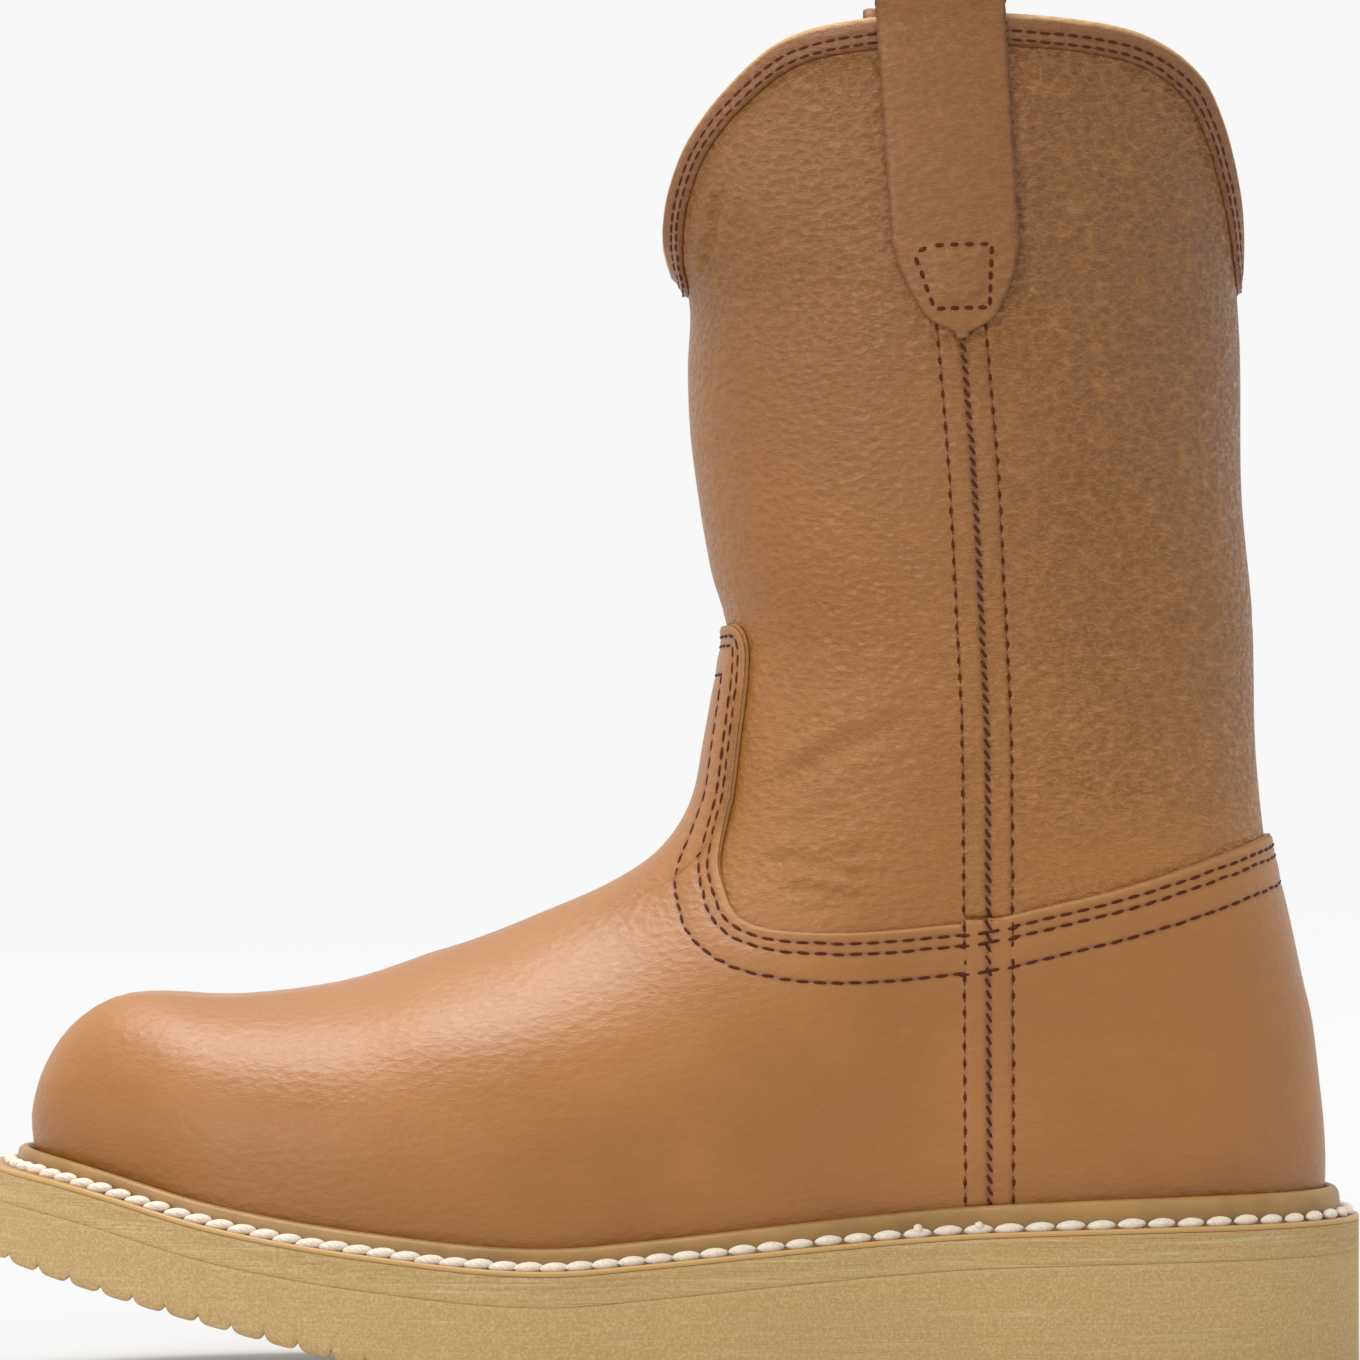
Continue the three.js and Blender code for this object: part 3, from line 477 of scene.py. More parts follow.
class Creases:
    """All the creases and soft waves of the upper's leather."""

    def __init__(self, seed: int = 7) -> None:
        """Lay the listed creases, then the fine ones in their zones.

        Args:
            seed: Seed of the fine creases and waves.
        """
        draw = np.random.default_rng(seed)
        self.folds = [
            Fold(((20, 133), (26, 137.5), (37.3, 144.8), (55.6, 152.1)), 1.15, 2.1),
            Fold(((22, 142), (34, 149), (49, 156)), 0.45, 1.8),
            Fold(((17, 117.5), (25.9, 118.8), (39, 115.8), (47, 116.5)), 0.75, 1.4),
            Fold(((20, 112.5), (31, 111.6), (45, 110.2)), 0.6, 1.4),
            Fold(((79, 121.5), (96, 122.6), (112, 124.6), (122, 128)), 0.6, 1.5),
            Fold(((84, 117.5), (101, 119.2), (118, 123)), 0.3, 1.6),
            Fold(
                ((14.5, 271), (11.7, 269.4), (9.3, 264.8), (8.2, 256), (5.4, 250), (3, 247)),
                0.9, 1.3,
            ),
            Fold(((88, 150), (104, 146), (124, 148)), 0.3, 2.4),
            Fold(((92, 176), (110, 172), (127, 175)), 0.22, 2.2),
            Fold(((-70, 92), (-52, 88), (-34, 89)), 0.18, 3.2),
        ]
        zones = (
            ((27, 46), (108, 122), 8, 0.32, 1.3, 0.1),
            ((84, 122), (120, 134), 9, 0.28, 1.4, 0.05),
            ((84, 128), (138, 214), 16, 0.12, 1.7, -0.1),
            ((12, 48), (160, 225), 8, 0.1, 1.9, 0.2),
            ((28, 50), (128, 152), 6, 0.26, 1.5, 0.5),
        )
        for side in (OUTER, INNER):
            for (x0, x1), (z0, z1), count, depth, width, slope in zones:
                for _ in range(count):
                    x, z = draw.uniform(x0, x1), draw.uniform(z0, z1)
                    half = draw.uniform(4, 11)
                    tilt = slope + draw.normal(0, 0.12)
                    bow = draw.normal(0, 0.8)
                    line = ((x - half, z - half * tilt), (x, z + bow), (x + half, z + half * tilt))
                    self.folds.append(Fold(line, depth * draw.uniform(0.6, 1.3), width, side))
        self.waves = [
            (draw.uniform(-1, 1, 2), draw.uniform(28, 60), draw.uniform(0, 2 * math.pi))
            for _ in range(6)
        ]

    def relief(self, side: Array, x: Array, z: Array) -> Array:
        """Outward movement of the leather at a place of the side view."""
        wave_height = 0.12
        total = sum(fold.relief(side, x, z) for fold in self.folds)
        for (dx, dz), length, phase in self.waves:
            steepness = 2 * math.pi / length / max(math.hypot(dx, dz), 0.2)
            total = total + wave_height * np.sin(steepness * (dx * x + dz * z) + phase)
        return total


FORM = BootForm()

# Mesh building


def build_mesh(name: str, points: Array, faces: Faces) -> Piece:
    """Make a smooth object from points in millimetres.

    Args:
        name: Name of the object.
        points: Points in the form's own frame.
        faces: Point numbers of each face.

    Returns:
        The object, at the origin, in metres.
    """
    mesh = bpy.data.meshes.new(name)
    placed = (points.reshape(-1, 3) + np.array([0, FORM.shift, 0])) * MM
    mesh.from_pydata(placed.tolist(), [], [list(face) for face in faces])
    mesh.validate()
    mesh.polygons.foreach_set("use_smooth", [True] * len(mesh.polygons))
    mesh.update()
    piece = bpy.data.objects.new(name, mesh)
    bpy.context.scene.collection.objects.link(piece)
    return piece


def grid_faces(rows: int, columns: int, join_rows: bool, join_columns: bool) -> Array:
    """Quads over a grid of points.

    Args:
        rows: Rows of points.
        columns: Points in a row.
        join_rows: Whether the last row joins the first.
        join_columns: Whether each row is a closed ring.

    Returns:
        Four point numbers for each face.
    """
    i = np.arange(rows if join_rows else rows - 1)[:, None]
    j = np.arange(columns if join_columns else columns - 1)[None, :]
    ahead_i, ahead_j = (i + 1) % rows, (j + 1) % columns
    corners = (
        i * columns + j, i * columns + ahead_j, ahead_i * columns + ahead_j, ahead_i * columns + j,
    )
    return np.stack(np.broadcast_arrays(*corners), -1).reshape(-1, 4)


def sweep(name: str, loops: Array, joined: bool) -> Piece:
    """A closed skin over a row of closed loops.

    Args:
        name: Name of the object.
        loops: Loops of points, as an array of (loop, point, 3).
        joined: Whether the last loop joins the first; otherwise both ends are capped.

    Returns:
        The object.
    """
    rows, columns = loops.shape[:2]
    points = loops.reshape(-1, 3)
    faces = grid_faces(rows, columns, joined, True).tolist()
    if not joined:
        first, last = loops[0].mean(0), loops[-1].mean(0)
        points = np.vstack([points, first, last])
        base = (rows - 1) * columns
        for j in range(columns):
            ahead = (j + 1) % columns
            faces.append([rows * columns, ahead, j])
            faces.append([rows * columns + 1, base + j, base + ahead])
    return face_outwards(build_mesh(name, points, faces))


def face_outwards(piece: Piece) -> Piece:
    """Turn the faces over where the closed mesh is inside out."""
    mesh = piece.data
    mesh.calc_loop_triangles()
    corners = np.zeros(len(mesh.loop_triangles) * 3, np.int64)
    mesh.loop_triangles.foreach_get("vertices", corners)
    place = np.zeros(len(mesh.vertices) * 3)
    mesh.vertices.foreach_get("co", place)
    a, b, c = np.moveaxis(place.reshape(-1, 3)[corners.reshape(-1, 3)], 1, 0)
    if np.einsum("ij,ij->", a, np.cross(b, c)) < 0:
        mesh.flip_normals()
    return piece


def mark(piece: Piece, name: str, values: Array) -> None:
    """Keep a number at each point of a piece, for its finish to read."""
    full = np.zeros(len(piece.data.vertices), np.float32)
    flat = np.asarray(values, np.float32).ravel()
    full[: len(flat)] = flat
    piece.data.attributes.new(name, "FLOAT", "POINT").data.foreach_set("value", full)


def grid_normals(grid: Array, join_columns: bool) -> Array:
    """Directions square to a grid of points."""
    if join_columns:
        across = np.roll(grid, -1, 1) - np.roll(grid, 1, 1)
    else:
        across = np.gradient(grid, axis=1)
    return unit(np.cross(across, np.gradient(grid, axis=0)))


def within(corners: Array, x: Array, z: Array) -> Array:
    """Whether places of the side view are inside a closed outline."""
    hit = np.zeros(np.broadcast(x, z).shape, bool)
    for (ax, az), (bx, bz) in zip(corners, np.roll(corners, -1, 0)):
        if az != bz:
            crosses = (az > z) != (bz > z)
            hit ^= crosses & (x < (bx - ax) * (z - az) / (bz - az) + ax)
    return hit


class Skin:
    """A surface that threads and edges are laid on."""

    def __init__(self, grid: Array, join_columns: bool) -> None:
        """Keep a grid of points as a tree for finding the nearest place."""
        rows, columns = grid.shape[:2]
        faces = grid_faces(rows, columns, False, join_columns)
        points = [Vector(point) for point in grid.reshape(-1, 3)]
        self.tree = BVHTree.FromPolygons(points, faces.tolist())

    def lay(self, points: Array, lift: Number, outward: Array) -> tuple[Array, Array]:
        """Bring points to the surface.

        Args:
            points: Points near the surface.
            lift: Height to leave above the surface.
            outward: Rough outward directions, which settle the normals' sign.

        Returns:
            The laid points and the surface's directions there.
        """
        spots, normals = np.zeros_like(points), np.zeros_like(points)
        for k, point in enumerate(points):
            spot, normal, _, _ = self.tree.find_nearest(Vector(point))
            spots[k], normals[k] = spot, normal
        facing = np.sign(np.einsum("ij,ij->i", normals, outward))
        normals = unit(normals) * np.where(facing == 0, 1, facing)[:, None]
        return spots + normals * np.reshape(lift, (-1, 1)), normals


def resample(path: Array, pitch: Number) -> tuple[Array, Array]:
    """Points at a pitch along a path.

    Args:
        path: Points of the path.
        pitch: Distance between the points, or its value at each point of the path.

    Returns:
        The points, and the path's directions there.
    """
    look = 0.3
    steps = np.linalg.norm(np.diff(path, axis=0), axis=1)
    run = np.concatenate([[0], np.cumsum(steps)])
    counts = np.concatenate([[0], np.cumsum(steps / np.broadcast_to(pitch, run.shape)[:-1])])
    count = max(int(counts[-1]), 1)
    at = np.interp((np.arange(count) + 0.5) * counts[-1] / count, counts, run)
    spots, ahead, behind = (
        np.column_stack([np.interp(place, run, path[:, k]) for k in range(3)])
        for place in (at, at + look, at - look)
    )
    return spots, unit(ahead - behind)


@dataclass(frozen=True)
class Stitch:
    """Size of one stitch, in millimetres."""

    pitch: float
    length: float
    width: float
    height: float
    lift: float = 0.0
    slant: float = 0.0
    power: float = 2.6
    around: int = 8
    along: int = 6

    def template(self) -> tuple[Array, Array]:
        """Points and faces of one stitch along X, on its back in XY."""
        t = np.linspace(-1, 1, self.along + 1)
        blunt, tip = 1.3, 0.02
        half = np.clip(1 - np.abs(t) ** self.power, 0.0, 1) ** (blunt / self.power) + tip
        turn = np.arange(self.around) * 2 * math.pi / self.around
        x = np.repeat(t * self.length / 2, self.around)
        y = np.outer(half, np.cos(turn)).ravel() * self.width / 2
        z = np.outer(half, np.sin(turn)).ravel() * self.height / 2
        faces = grid_faces(self.along + 1, self.around, False, True).tolist()
        return np.column_stack([x, y, z]), faces

    def sew(self, spots: Array, along: Array, normals: Array) -> tuple[Array, list]:
        """Set one stitch at each spot.

        Args:
            spots: Middles of the stitches.
            along: Directions of the thread.
            normals: Directions out of the leather.

        Returns:
            Points and faces of all the stitches.
        """
        shape, faces = self.template()
        across = unit(np.cross(normals, along))
        along = unit(np.cross(across, normals))
        tilt = math.radians(self.slant)
        run = along * math.cos(tilt) + across * math.sin(tilt)
        side = across * math.cos(tilt) - along * math.sin(tilt)
        points = (
            spots[:, None] + shape[None, :, :1] * run[:, None]
            + shape[None, :, 1:2] * side[:, None] + shape[None, :, 2:] * normals[:, None]
        )
        size = len(shape)
        turns = self.around
        ends = [list(range(turns))[::-1], list(range(size - turns, size))]
        single = faces + ends
        every = [[k * size + n for n in face] for k in range(len(spots)) for face in single]
        return points.reshape(-1, 3), every


class Seamstress:
    """Gathers stitches of one thread into one piece."""

    def __init__(self, name: str) -> None:
        """Start an empty piece."""
        self.name = name
        self.points: list[Array] = []
        self.faces: list[list[int]] = []
        self.count = 0

    def add(self, points: Array, faces: Faces) -> None:
        """Add points and faces to the piece."""
        self.points.append(points)
        self.faces.extend([[n + self.count for n in face] for face in faces])
        self.count += len(points)

    def row(self, stitch: Stitch, path: Array, skin: Skin, outward: Array, draw: Draw) -> None:
        """Sew a row along a path on a skin.

        Args:
            stitch: Size of the stitches.
            path: Points of the row.
            skin: Surface that the row lies on.
            outward: Rough outward directions at the path's points.
            draw: Random source of the row's small unevenness.
        """
        spots, along = resample(path, stitch.pitch)
        nearest = np.argmin(np.linalg.norm(spots[:, None] - path[None], axis=2), axis=1)
        unevenness = 0.06
        wobble = draw.normal(0, unevenness, len(spots))
        spots, normals = skin.lay(spots, stitch.lift, outward[nearest])
        across = unit(np.cross(normals, along))
        self.add(*stitch.sew(spots + across * wobble[:, None], along, normals))

    def finish(self, material: Material, slot: str) -> Piece:
        """Make the piece and let it ride on the boot."""
        piece = build_mesh(self.name, np.vstack(self.points), self.faces)
        return dress(piece, material, slot)


def dress(piece: Piece, material: Material, slot: str, *nodes: str) -> Piece:
    """Give a piece its finish and the solids that it stands for.

    Args:
        piece: The piece.
        material: Its finish.
        slot: Name of the record's material slot; not used.
        nodes: Solids that the piece replaces.

    Returns:
        The piece.
    """
    piece.data.materials.append(material)
    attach(piece, "root")
    if nodes:
        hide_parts(*nodes)
    LOG.info("%s: %d points", piece.name, len(piece.data.vertices))
    return piece


# Finishes

Plug = Union["Wire", float, Sequence[float]]


class Wire:
    """A socket of a material's nodes, with arithmetic."""

    def __init__(self, book: "NodeBook", socket: bpy.types.NodeSocket) -> None:
        """Wrap a socket."""
        self.book = book
        self.socket = socket

    def _math(self, operation: str, *values: Plug) -> "Wire":
        """A Math node over the values."""
        return self.book.node("ShaderNodeMath", {"operation": operation}, dict(enumerate(values)))

    def __add__(self, other: Plug) -> "Wire":
        """Sum."""
        return self._math("ADD", self, other)

    __radd__ = __add__

    def __mul__(self, other: Plug) -> "Wire":
        """Product."""
        return self._math("MULTIPLY", self, other)

    __rmul__ = __mul__

    def __sub__(self, other: Plug) -> "Wire":
        """Difference."""
        return self._math("SUBTRACT", self, other)

    def __rsub__(self, other: Plug) -> "Wire":
        """Difference from a number."""
        return self._math("SUBTRACT", other, self)

    def __truediv__(self, other: Plug) -> "Wire":
        """Quotient."""
        return self._math("DIVIDE", self, other)

    def least(self, other: Plug) -> "Wire":
        """The smaller of two values."""
        return self._math("MINIMUM", self, other)

    def most(self, other: Plug) -> "Wire":
        """The larger of two values."""
        return self._math("MAXIMUM", self, other)

    def ease(self, low: float, high: float) -> "Wire":
        """Ease from 0 at low to 1 at high."""
        settings = {"interpolation_type": "SMOOTHSTEP"}
        values = {"Value": self, "From Min": low, "From Max": high, "To Min": 0.0, "To Max": 1.0}
        return self.book.node("ShaderNodeMapRange", settings, values)


class NodeBook:
    """The nodes of one material."""

    def __init__(self, name: str) -> None:
        """Make a material with no nodes but its output."""
        self.material = bpy.data.materials.new(name)
        self.material.use_nodes = True
        self.tree = self.material.node_tree
        self.tree.nodes.clear()
        self.out = self.tree.nodes.new("ShaderNodeOutputMaterial")

    def node(
        self, kind: str, settings: Optional[Mapping[str, object]] = None,
        values: Optional[Mapping[Union[str, int], Plug]] = None, output: Union[str, int] = 0,
    ) -> Wire:
        """Add a node.

        Args:
            kind: The node's type.
            settings: Its own settings; "stops" holds a ramp's places and colours.
            values: Values or links of its sockets.
            output: The socket that is returned.

        Returns:
            The node's output.
        """
        node = self.tree.nodes.new(kind)
        for name, value in (settings or {}).items():
            if name == "stops":
                self._set_stops(node.color_ramp, value)
            else:
                setattr(node, name, value)
        for name, value in (values or {}).items():
            if isinstance(value, Wire):
                self.tree.links.new(value.socket, node.inputs[name])
            else:
                node.inputs[name].default_value = value
        return Wire(self, node.outputs[output])

    @staticmethod
    def _set_stops(ramp: bpy.types.ColorRamp, stops: Stops) -> None:
        """Give a ramp its stops."""
        while len(ramp.elements) < len(stops):
            ramp.elements.new(0.5)
        for element, (place, colour) in zip(ramp.elements, stops):
            element.position = place
            element.color = (*colour, 1.0)

    def mix(self, share: Plug, a: Plug, b: Plug) -> Wire:
        """Mix two colours."""
        settings = {"data_type": "RGBA", "blend_type": "MIX", "clamp_factor": True}
        return self.node("ShaderNodeMix", settings, {0: share, 6: a, 7: b}, 2)

    def place(self, scale: Sequence[float] = (1, 1, 1)) -> Wire:
        """Place on the piece, in millimetres times a scale."""
        spot = self.node("ShaderNodeTexCoord", output="Object")
        grow = tuple(value / MM for value in scale)
        settings = {"operation": "MULTIPLY"}
        return self.node("ShaderNodeVectorMath", settings, {0: spot, 1: grow})

    def split(self, vector: Wire, axis: str) -> Wire:
        """One part of a vector."""
        return self.node("ShaderNodeSeparateXYZ", None, {0: vector}, axis)

    def noise(self, vector: Wire, scale: float, detail: float = 3.0, rough: float = 0.5) -> Wire:
        """Soft noise with a pattern of about 1 / scale millimetres."""
        values = {"Vector": vector, "Scale": scale, "Detail": detail, "Roughness": rough}
        return self.node("ShaderNodeTexNoise", None, values, 0)

    def cells(self, vector: Wire, scale: float, soft: float) -> Wire:
        """Distance to the middle of soft cells of about 1 / scale millimetres."""
        values = {"Vector": vector, "Scale": scale, "Smoothness": soft}
        return self.node("ShaderNodeTexVoronoi", {"feature": "SMOOTH_F1"}, values, "Distance")

    def read(self, name: str) -> Wire:
        """A number kept at the piece's points."""
        return self.node("ShaderNodeAttribute", {"attribute_name": name}, output="Fac")

    def bump(self, height: Plug, distance: float, strength: float = 1.0) -> Wire:
        """Surface direction from a height in units of a distance in millimetres."""
        values = {"Height": height, "Distance": distance * MM, "Strength": strength}
        return self.node("ShaderNodeBump", None, values)

    def close(self, values: Mapping[str, Plug]) -> Material:
        """End the material with its shader."""
        shader = self.node("ShaderNodeBsdfPrincipled", None, values)
        self.tree.links.new(shader.socket, self.out.inputs["Surface"])
        return self.material


def paint(red: float, green: float, blue: float) -> tuple[float, float, float, float]:
    """A colour from its display values of 0 to 255."""
    def linear(value: float) -> float:
        share = value / 255
        return share / 12.92 if share <= 0.04045 else ((share + 0.055) / 1.055) ** 2.4
    return (linear(red), linear(green), linear(blue), 1.0)


class Grain(Enum):
    """How strongly a piece of leather shows its grain."""

    PEBBLED = 1.0
    SMOOTH = 0.25
    FLAT = 0.45


@dataclass(frozen=True)
class LeatherFinish:
    """Oiled full-grain leather in tan."""

    name: str
    grain: Grain
    tan: tuple = paint(157, 102, 41)
    deep: tuple = paint(140, 86, 29)
    pale: tuple = paint(175, 121, 59)
    rim: tuple = paint(176, 130, 80)
    # Colour of the painted shade in the stitch grooves.
    seam: tuple = paint(106, 60, 24)
    # Colour of the painted shade at the shaft's top and back.
    shade_tone: tuple = paint(120, 72, 24)
    roughness: float = 0.39

    def make(self) -> Material:
        """Build the material.

        Returns:
            The material.
        """
        book = NodeBook(self.name)
        spot = book.place()
        x, z = book.split(spot, "X"), book.split(spot, "Z")
        broad = book.noise(spot, 0.028, 3.0, 0.55)
        patch = book.noise(book.place((1, 1, 1.6)), 0.11, 3.0, 0.6)
        colour = book.mix((broad - 0.3) * 1.6 + 0.25, self.deep, self.tan)
        colour = book.mix((patch - 0.5) * 0.5, colour, self.pale)
        colour = book.mix((book.noise(spot, 1.6, 4.0, 0.7) - 0.45) * 0.4, colour, self.deep)
        # Painted shade: the leather darkens towards the top of the shaft and at the back above the
        # heel.
        shade_share = z.ease(130, 270) * 0.72 + x.ease(45, 125) * z.ease(125, 180) * 0.2
        colour = book.mix(shade_share, colour, self.shade_tone)
        warp = book.noise(spot, 0.4, 2.0)
        pebble_place = book.node(
            "ShaderNodeVectorMath", {"operation": "ADD"},
            {0: book.place((0.62, 0.62, 1.0)), 1: warp},
        )
        pebbles = book.cells(pebble_place, 0.62, 0.35)
        wrinkles = book.noise(book.place((0.5, 0.5, 1.7)), 0.42, 5.0, 0.62)
        creased = (1 - (wrinkles - 0.5) * (wrinkles - 0.5) * 260).most(0.0)
        back = x.ease(50, 110) * z.ease(118, 140)
        top = z.ease(215, 250) * 0.35
        strong = (back + top + 0.35).least(1.15) * z.ease(100, 112)
        mask = strong * self.grain.value + 0.12
        colour = book.mix(creased * mask * 0.2 + (pebbles - 0.45) * mask * 0.5, colour, self.pale)
        pores = book.noise(spot, 3.2, 2.0, 0.6)
        height = pebbles * mask * 2.7 - creased * mask * 0.5 + pores * 0.12
        # Painted shade: the leather darkens within 22 mm above the sole, next to the welt.
        low = book.read("rise")
        colour = book.mix((1 - low.ease(0.0, 22.0)) * 0.5, colour, self.deep)
        rim = book.read("rim")
        colour = book.mix(rim * 0.75, colour, self.rim)
        # Painted shade: the stitch grooves darken towards the seam colour by the row mark.
        colour = book.mix(book.read("row") * 0.8, colour, self.seam)
        rough = (broad - 0.5) * 0.16 + self.roughness + creased * mask * 0.12 + rim * 0.3
        return book.close({
            "Base Color": colour, "Roughness": rough, "Specular IOR Level": 0.55,
            "Normal": book.bump(height, 0.42, 0.9),
        })


@dataclass(frozen=True)
class ThreadFinish:
    """Waxed thread."""

    name: str
    colour: tuple
    shade: tuple
    roughness: float = 0.62

    def make(self) -> Material:
        """Build the material.

        Returns:
            The material.
        """
        book = NodeBook(self.name)
        fibre = book.noise(book.place((1, 1, 1)), 1.7, 3.0, 0.7)
        twist = book.node(
            "ShaderNodeTexWave", {"bands_direction": "DIAGONAL"},
            {"Vector": book.place(), "Scale": 0.45, "Distortion": 1.2},
        )
        colour = book.mix((fibre - 0.35) * 1.6, self.shade, self.colour)
        return book.close({
            "Base Color": colour, "Roughness": self.roughness, "Specular IOR Level": 0.12,
            "Normal": book.bump(twist * 0.6 + fibre, 0.18, 0.7),
        })


@dataclass(frozen=True)
class WeltFinish:
    """Waxed welt strip, with an orange cut edge."""

    name: str = "welt leather"
    ridge: tuple = paint(154, 116, 60)
    dark: tuple = paint(116, 82, 38)
    edge: tuple = paint(182, 142, 82)

    def make(self) -> Material:
        """Build the material.

        Returns:
            The material.
        """
        book = NodeBook(self.name)
        spot = book.place()
        cloud = book.noise(spot, 0.06, 4.0, 0.6)
        colour = book.mix((cloud - 0.4) * 2.2, self.ridge, self.dark)
        colour = book.mix(book.read("edge"), colour, self.edge)
        # Painted shade: the welt darkens in the bead groove and in the gap against the upper, by
        # the groove mark.
        colour = book.mix(book.read("groove") * 0.7, colour, self.dark)
        scratches = book.noise(book.place((0.12, 0.12, 2.2)), 1.0, 3.0, 0.6)
        return book.close({
            "Base Color": colour, "Roughness": cloud * 0.2 + 0.32,
            "Normal": book.bump(scratches, 0.08, 0.6),
        })


@dataclass(frozen=True)
class SoleFinish:
    """Light rubber foam with a fine speckle and faint streaks along the sole."""

    name: str
    cream: tuple = paint(200, 169, 117)
    tan: tuple = paint(176, 144, 93)
    pale: tuple = paint(204, 184, 140)
    orange: tuple = paint(184, 136, 74)
    streaks: float = 0.25

    def make(self) -> Material:
        """Build the material.

        Returns:
            The material.
        """
        book = NodeBook(self.name)
        spot = book.place()
        speckle = book.noise(spot, 1.5, 3.0, 0.75)
        cloud = book.noise(book.place((0.4, 0.4, 1.0)), 0.06, 3.0)
        depth = book.read("depth")
        lines = book.noise(book.place((0.035, 0.035, 1.5)), 1.0, 4.0, 0.62)
        colour = book.mix((speckle - 0.43) * 4.2, self.tan, self.cream)
        colour = book.mix((cloud - 0.5) * 0.9, colour, self.tan)
        streak = (lines - 0.54).most(0.0) * 5.0 * self.streaks
        colour = book.mix(streak * (1 - depth.ease(1.5, 6.0)), colour, self.orange)
        pale = (0.45 - lines).most(0.0) * 3.5 * self.streaks
        colour = book.mix(pale, colour, self.pale)
        colour = book.mix(book.read("line") * 0.3, colour, self.tan)
        height = speckle * 0.7 + lines * self.streaks
        return book.close({
            "Base Color": colour, "Roughness": 0.78,
            "Normal": book.bump(height, 0.55, 0.9),
        })


# Pieces

# Distances of the rows from a layer's edge, and the depths to which they draw the leather in
ROW_INSETS = ((2.5, 0.16), (4.9, 0.16), (11.2, 0.2))
EDGE_STITCH = Stitch(pitch=3.9, length=3.1, width=0.75, height=0.6)
CROSS_STITCH = Stitch(pitch=3.1, length=2.8, width=0.75, height=0.7, lift=0.1)
FLANK_STITCH = Stitch(pitch=3.7, length=1.8, width=0.95, height=0.5)
FLANK_THREAD = Stitch(pitch=3.7, length=3.5, width=0.5, height=0.3)
CENTRE_STITCH = Stitch(pitch=2.5, length=2.7, width=0.7, height=0.6, lift=0.05, slant=32.0)
COLLAR_STITCH = Stitch(pitch=3.2, length=2.6, width=0.75, height=0.5)
BOX_STITCH = Stitch(pitch=2.6, length=2.1, width=0.95, height=0.6)


@dataclass
class UpperWall:
    """The upper: one hollow wall of leather from the feather line to the collar."""

    form: BootForm
    creases: Creases
    front_columns: int = 60
    back_columns: int = 36
    rows_per_section: int = 5
    shaft_rows: int = 66
    grid: Array = field(init=False, default=None)

    def ring_places(self, rows: Array) -> tuple[Array, Array]:
        """Sides and shares of a closed ring at each row."""
        seam = self.form.seam_share(rows)[:, None]
        ahead = 1 - np.cos(math.pi / 2 * np.arange(self.front_columns) / self.front_columns)
        back_turn = 1 - np.arange(self.back_columns) / self.back_columns
        behind = 1 - np.cos(math.pi / 2 * back_turn)
        half = np.concatenate([seam * ahead, 1 - (1 - seam) * behind], axis=1)
        count = half.shape[1]
        last = np.ones((len(rows), 1))
        share = np.concatenate([half, last, half[:, :0:-1]], axis=1)
        sides = np.concatenate([np.full(count + 1, OUTER), np.full(count - 1, INNER)])
        return np.broadcast_to(sides, share.shape), share

    def build(self, material: Material) -> Piece:
        """Build the wall.

        Args:
            material: The leather.

        Returns:
            The piece.
        """
        form = self.form
        foot = np.linspace(0, form.top_row, form.top_row * self.rows_per_section + 1)
        shaft = form.top_row + np.linspace(0, 1, self.shaft_rows + 1)[1:]
        rows = np.concatenate([foot, shaft])
        sides, share = self.ring_places(rows)
        base = form.point(sides, share, rows[:, None])
        normals = grid_normals(base, True)
        if np.mean(normals[:, : self.front_columns, 1]) > 0:
            normals = -normals
        relief = self.creases.relief(sides, base[..., 0], base[..., 2])
        self.grid = base + normals * relief[..., None]
        inside = self.grid - normals * form.leather
        piece = sweep("upper_leather", np.concatenate([self.grid, inside[::-1]]), True)
        # Height above the sole, which drives the leather's painted shade next to the welt.
        rise = base[..., 2] - form.sole_top(base[..., 0])
        mark(piece, "rise", np.concatenate([rise, rise[::-1] + 20]))
        return dress(piece, material, "leather", "upper")


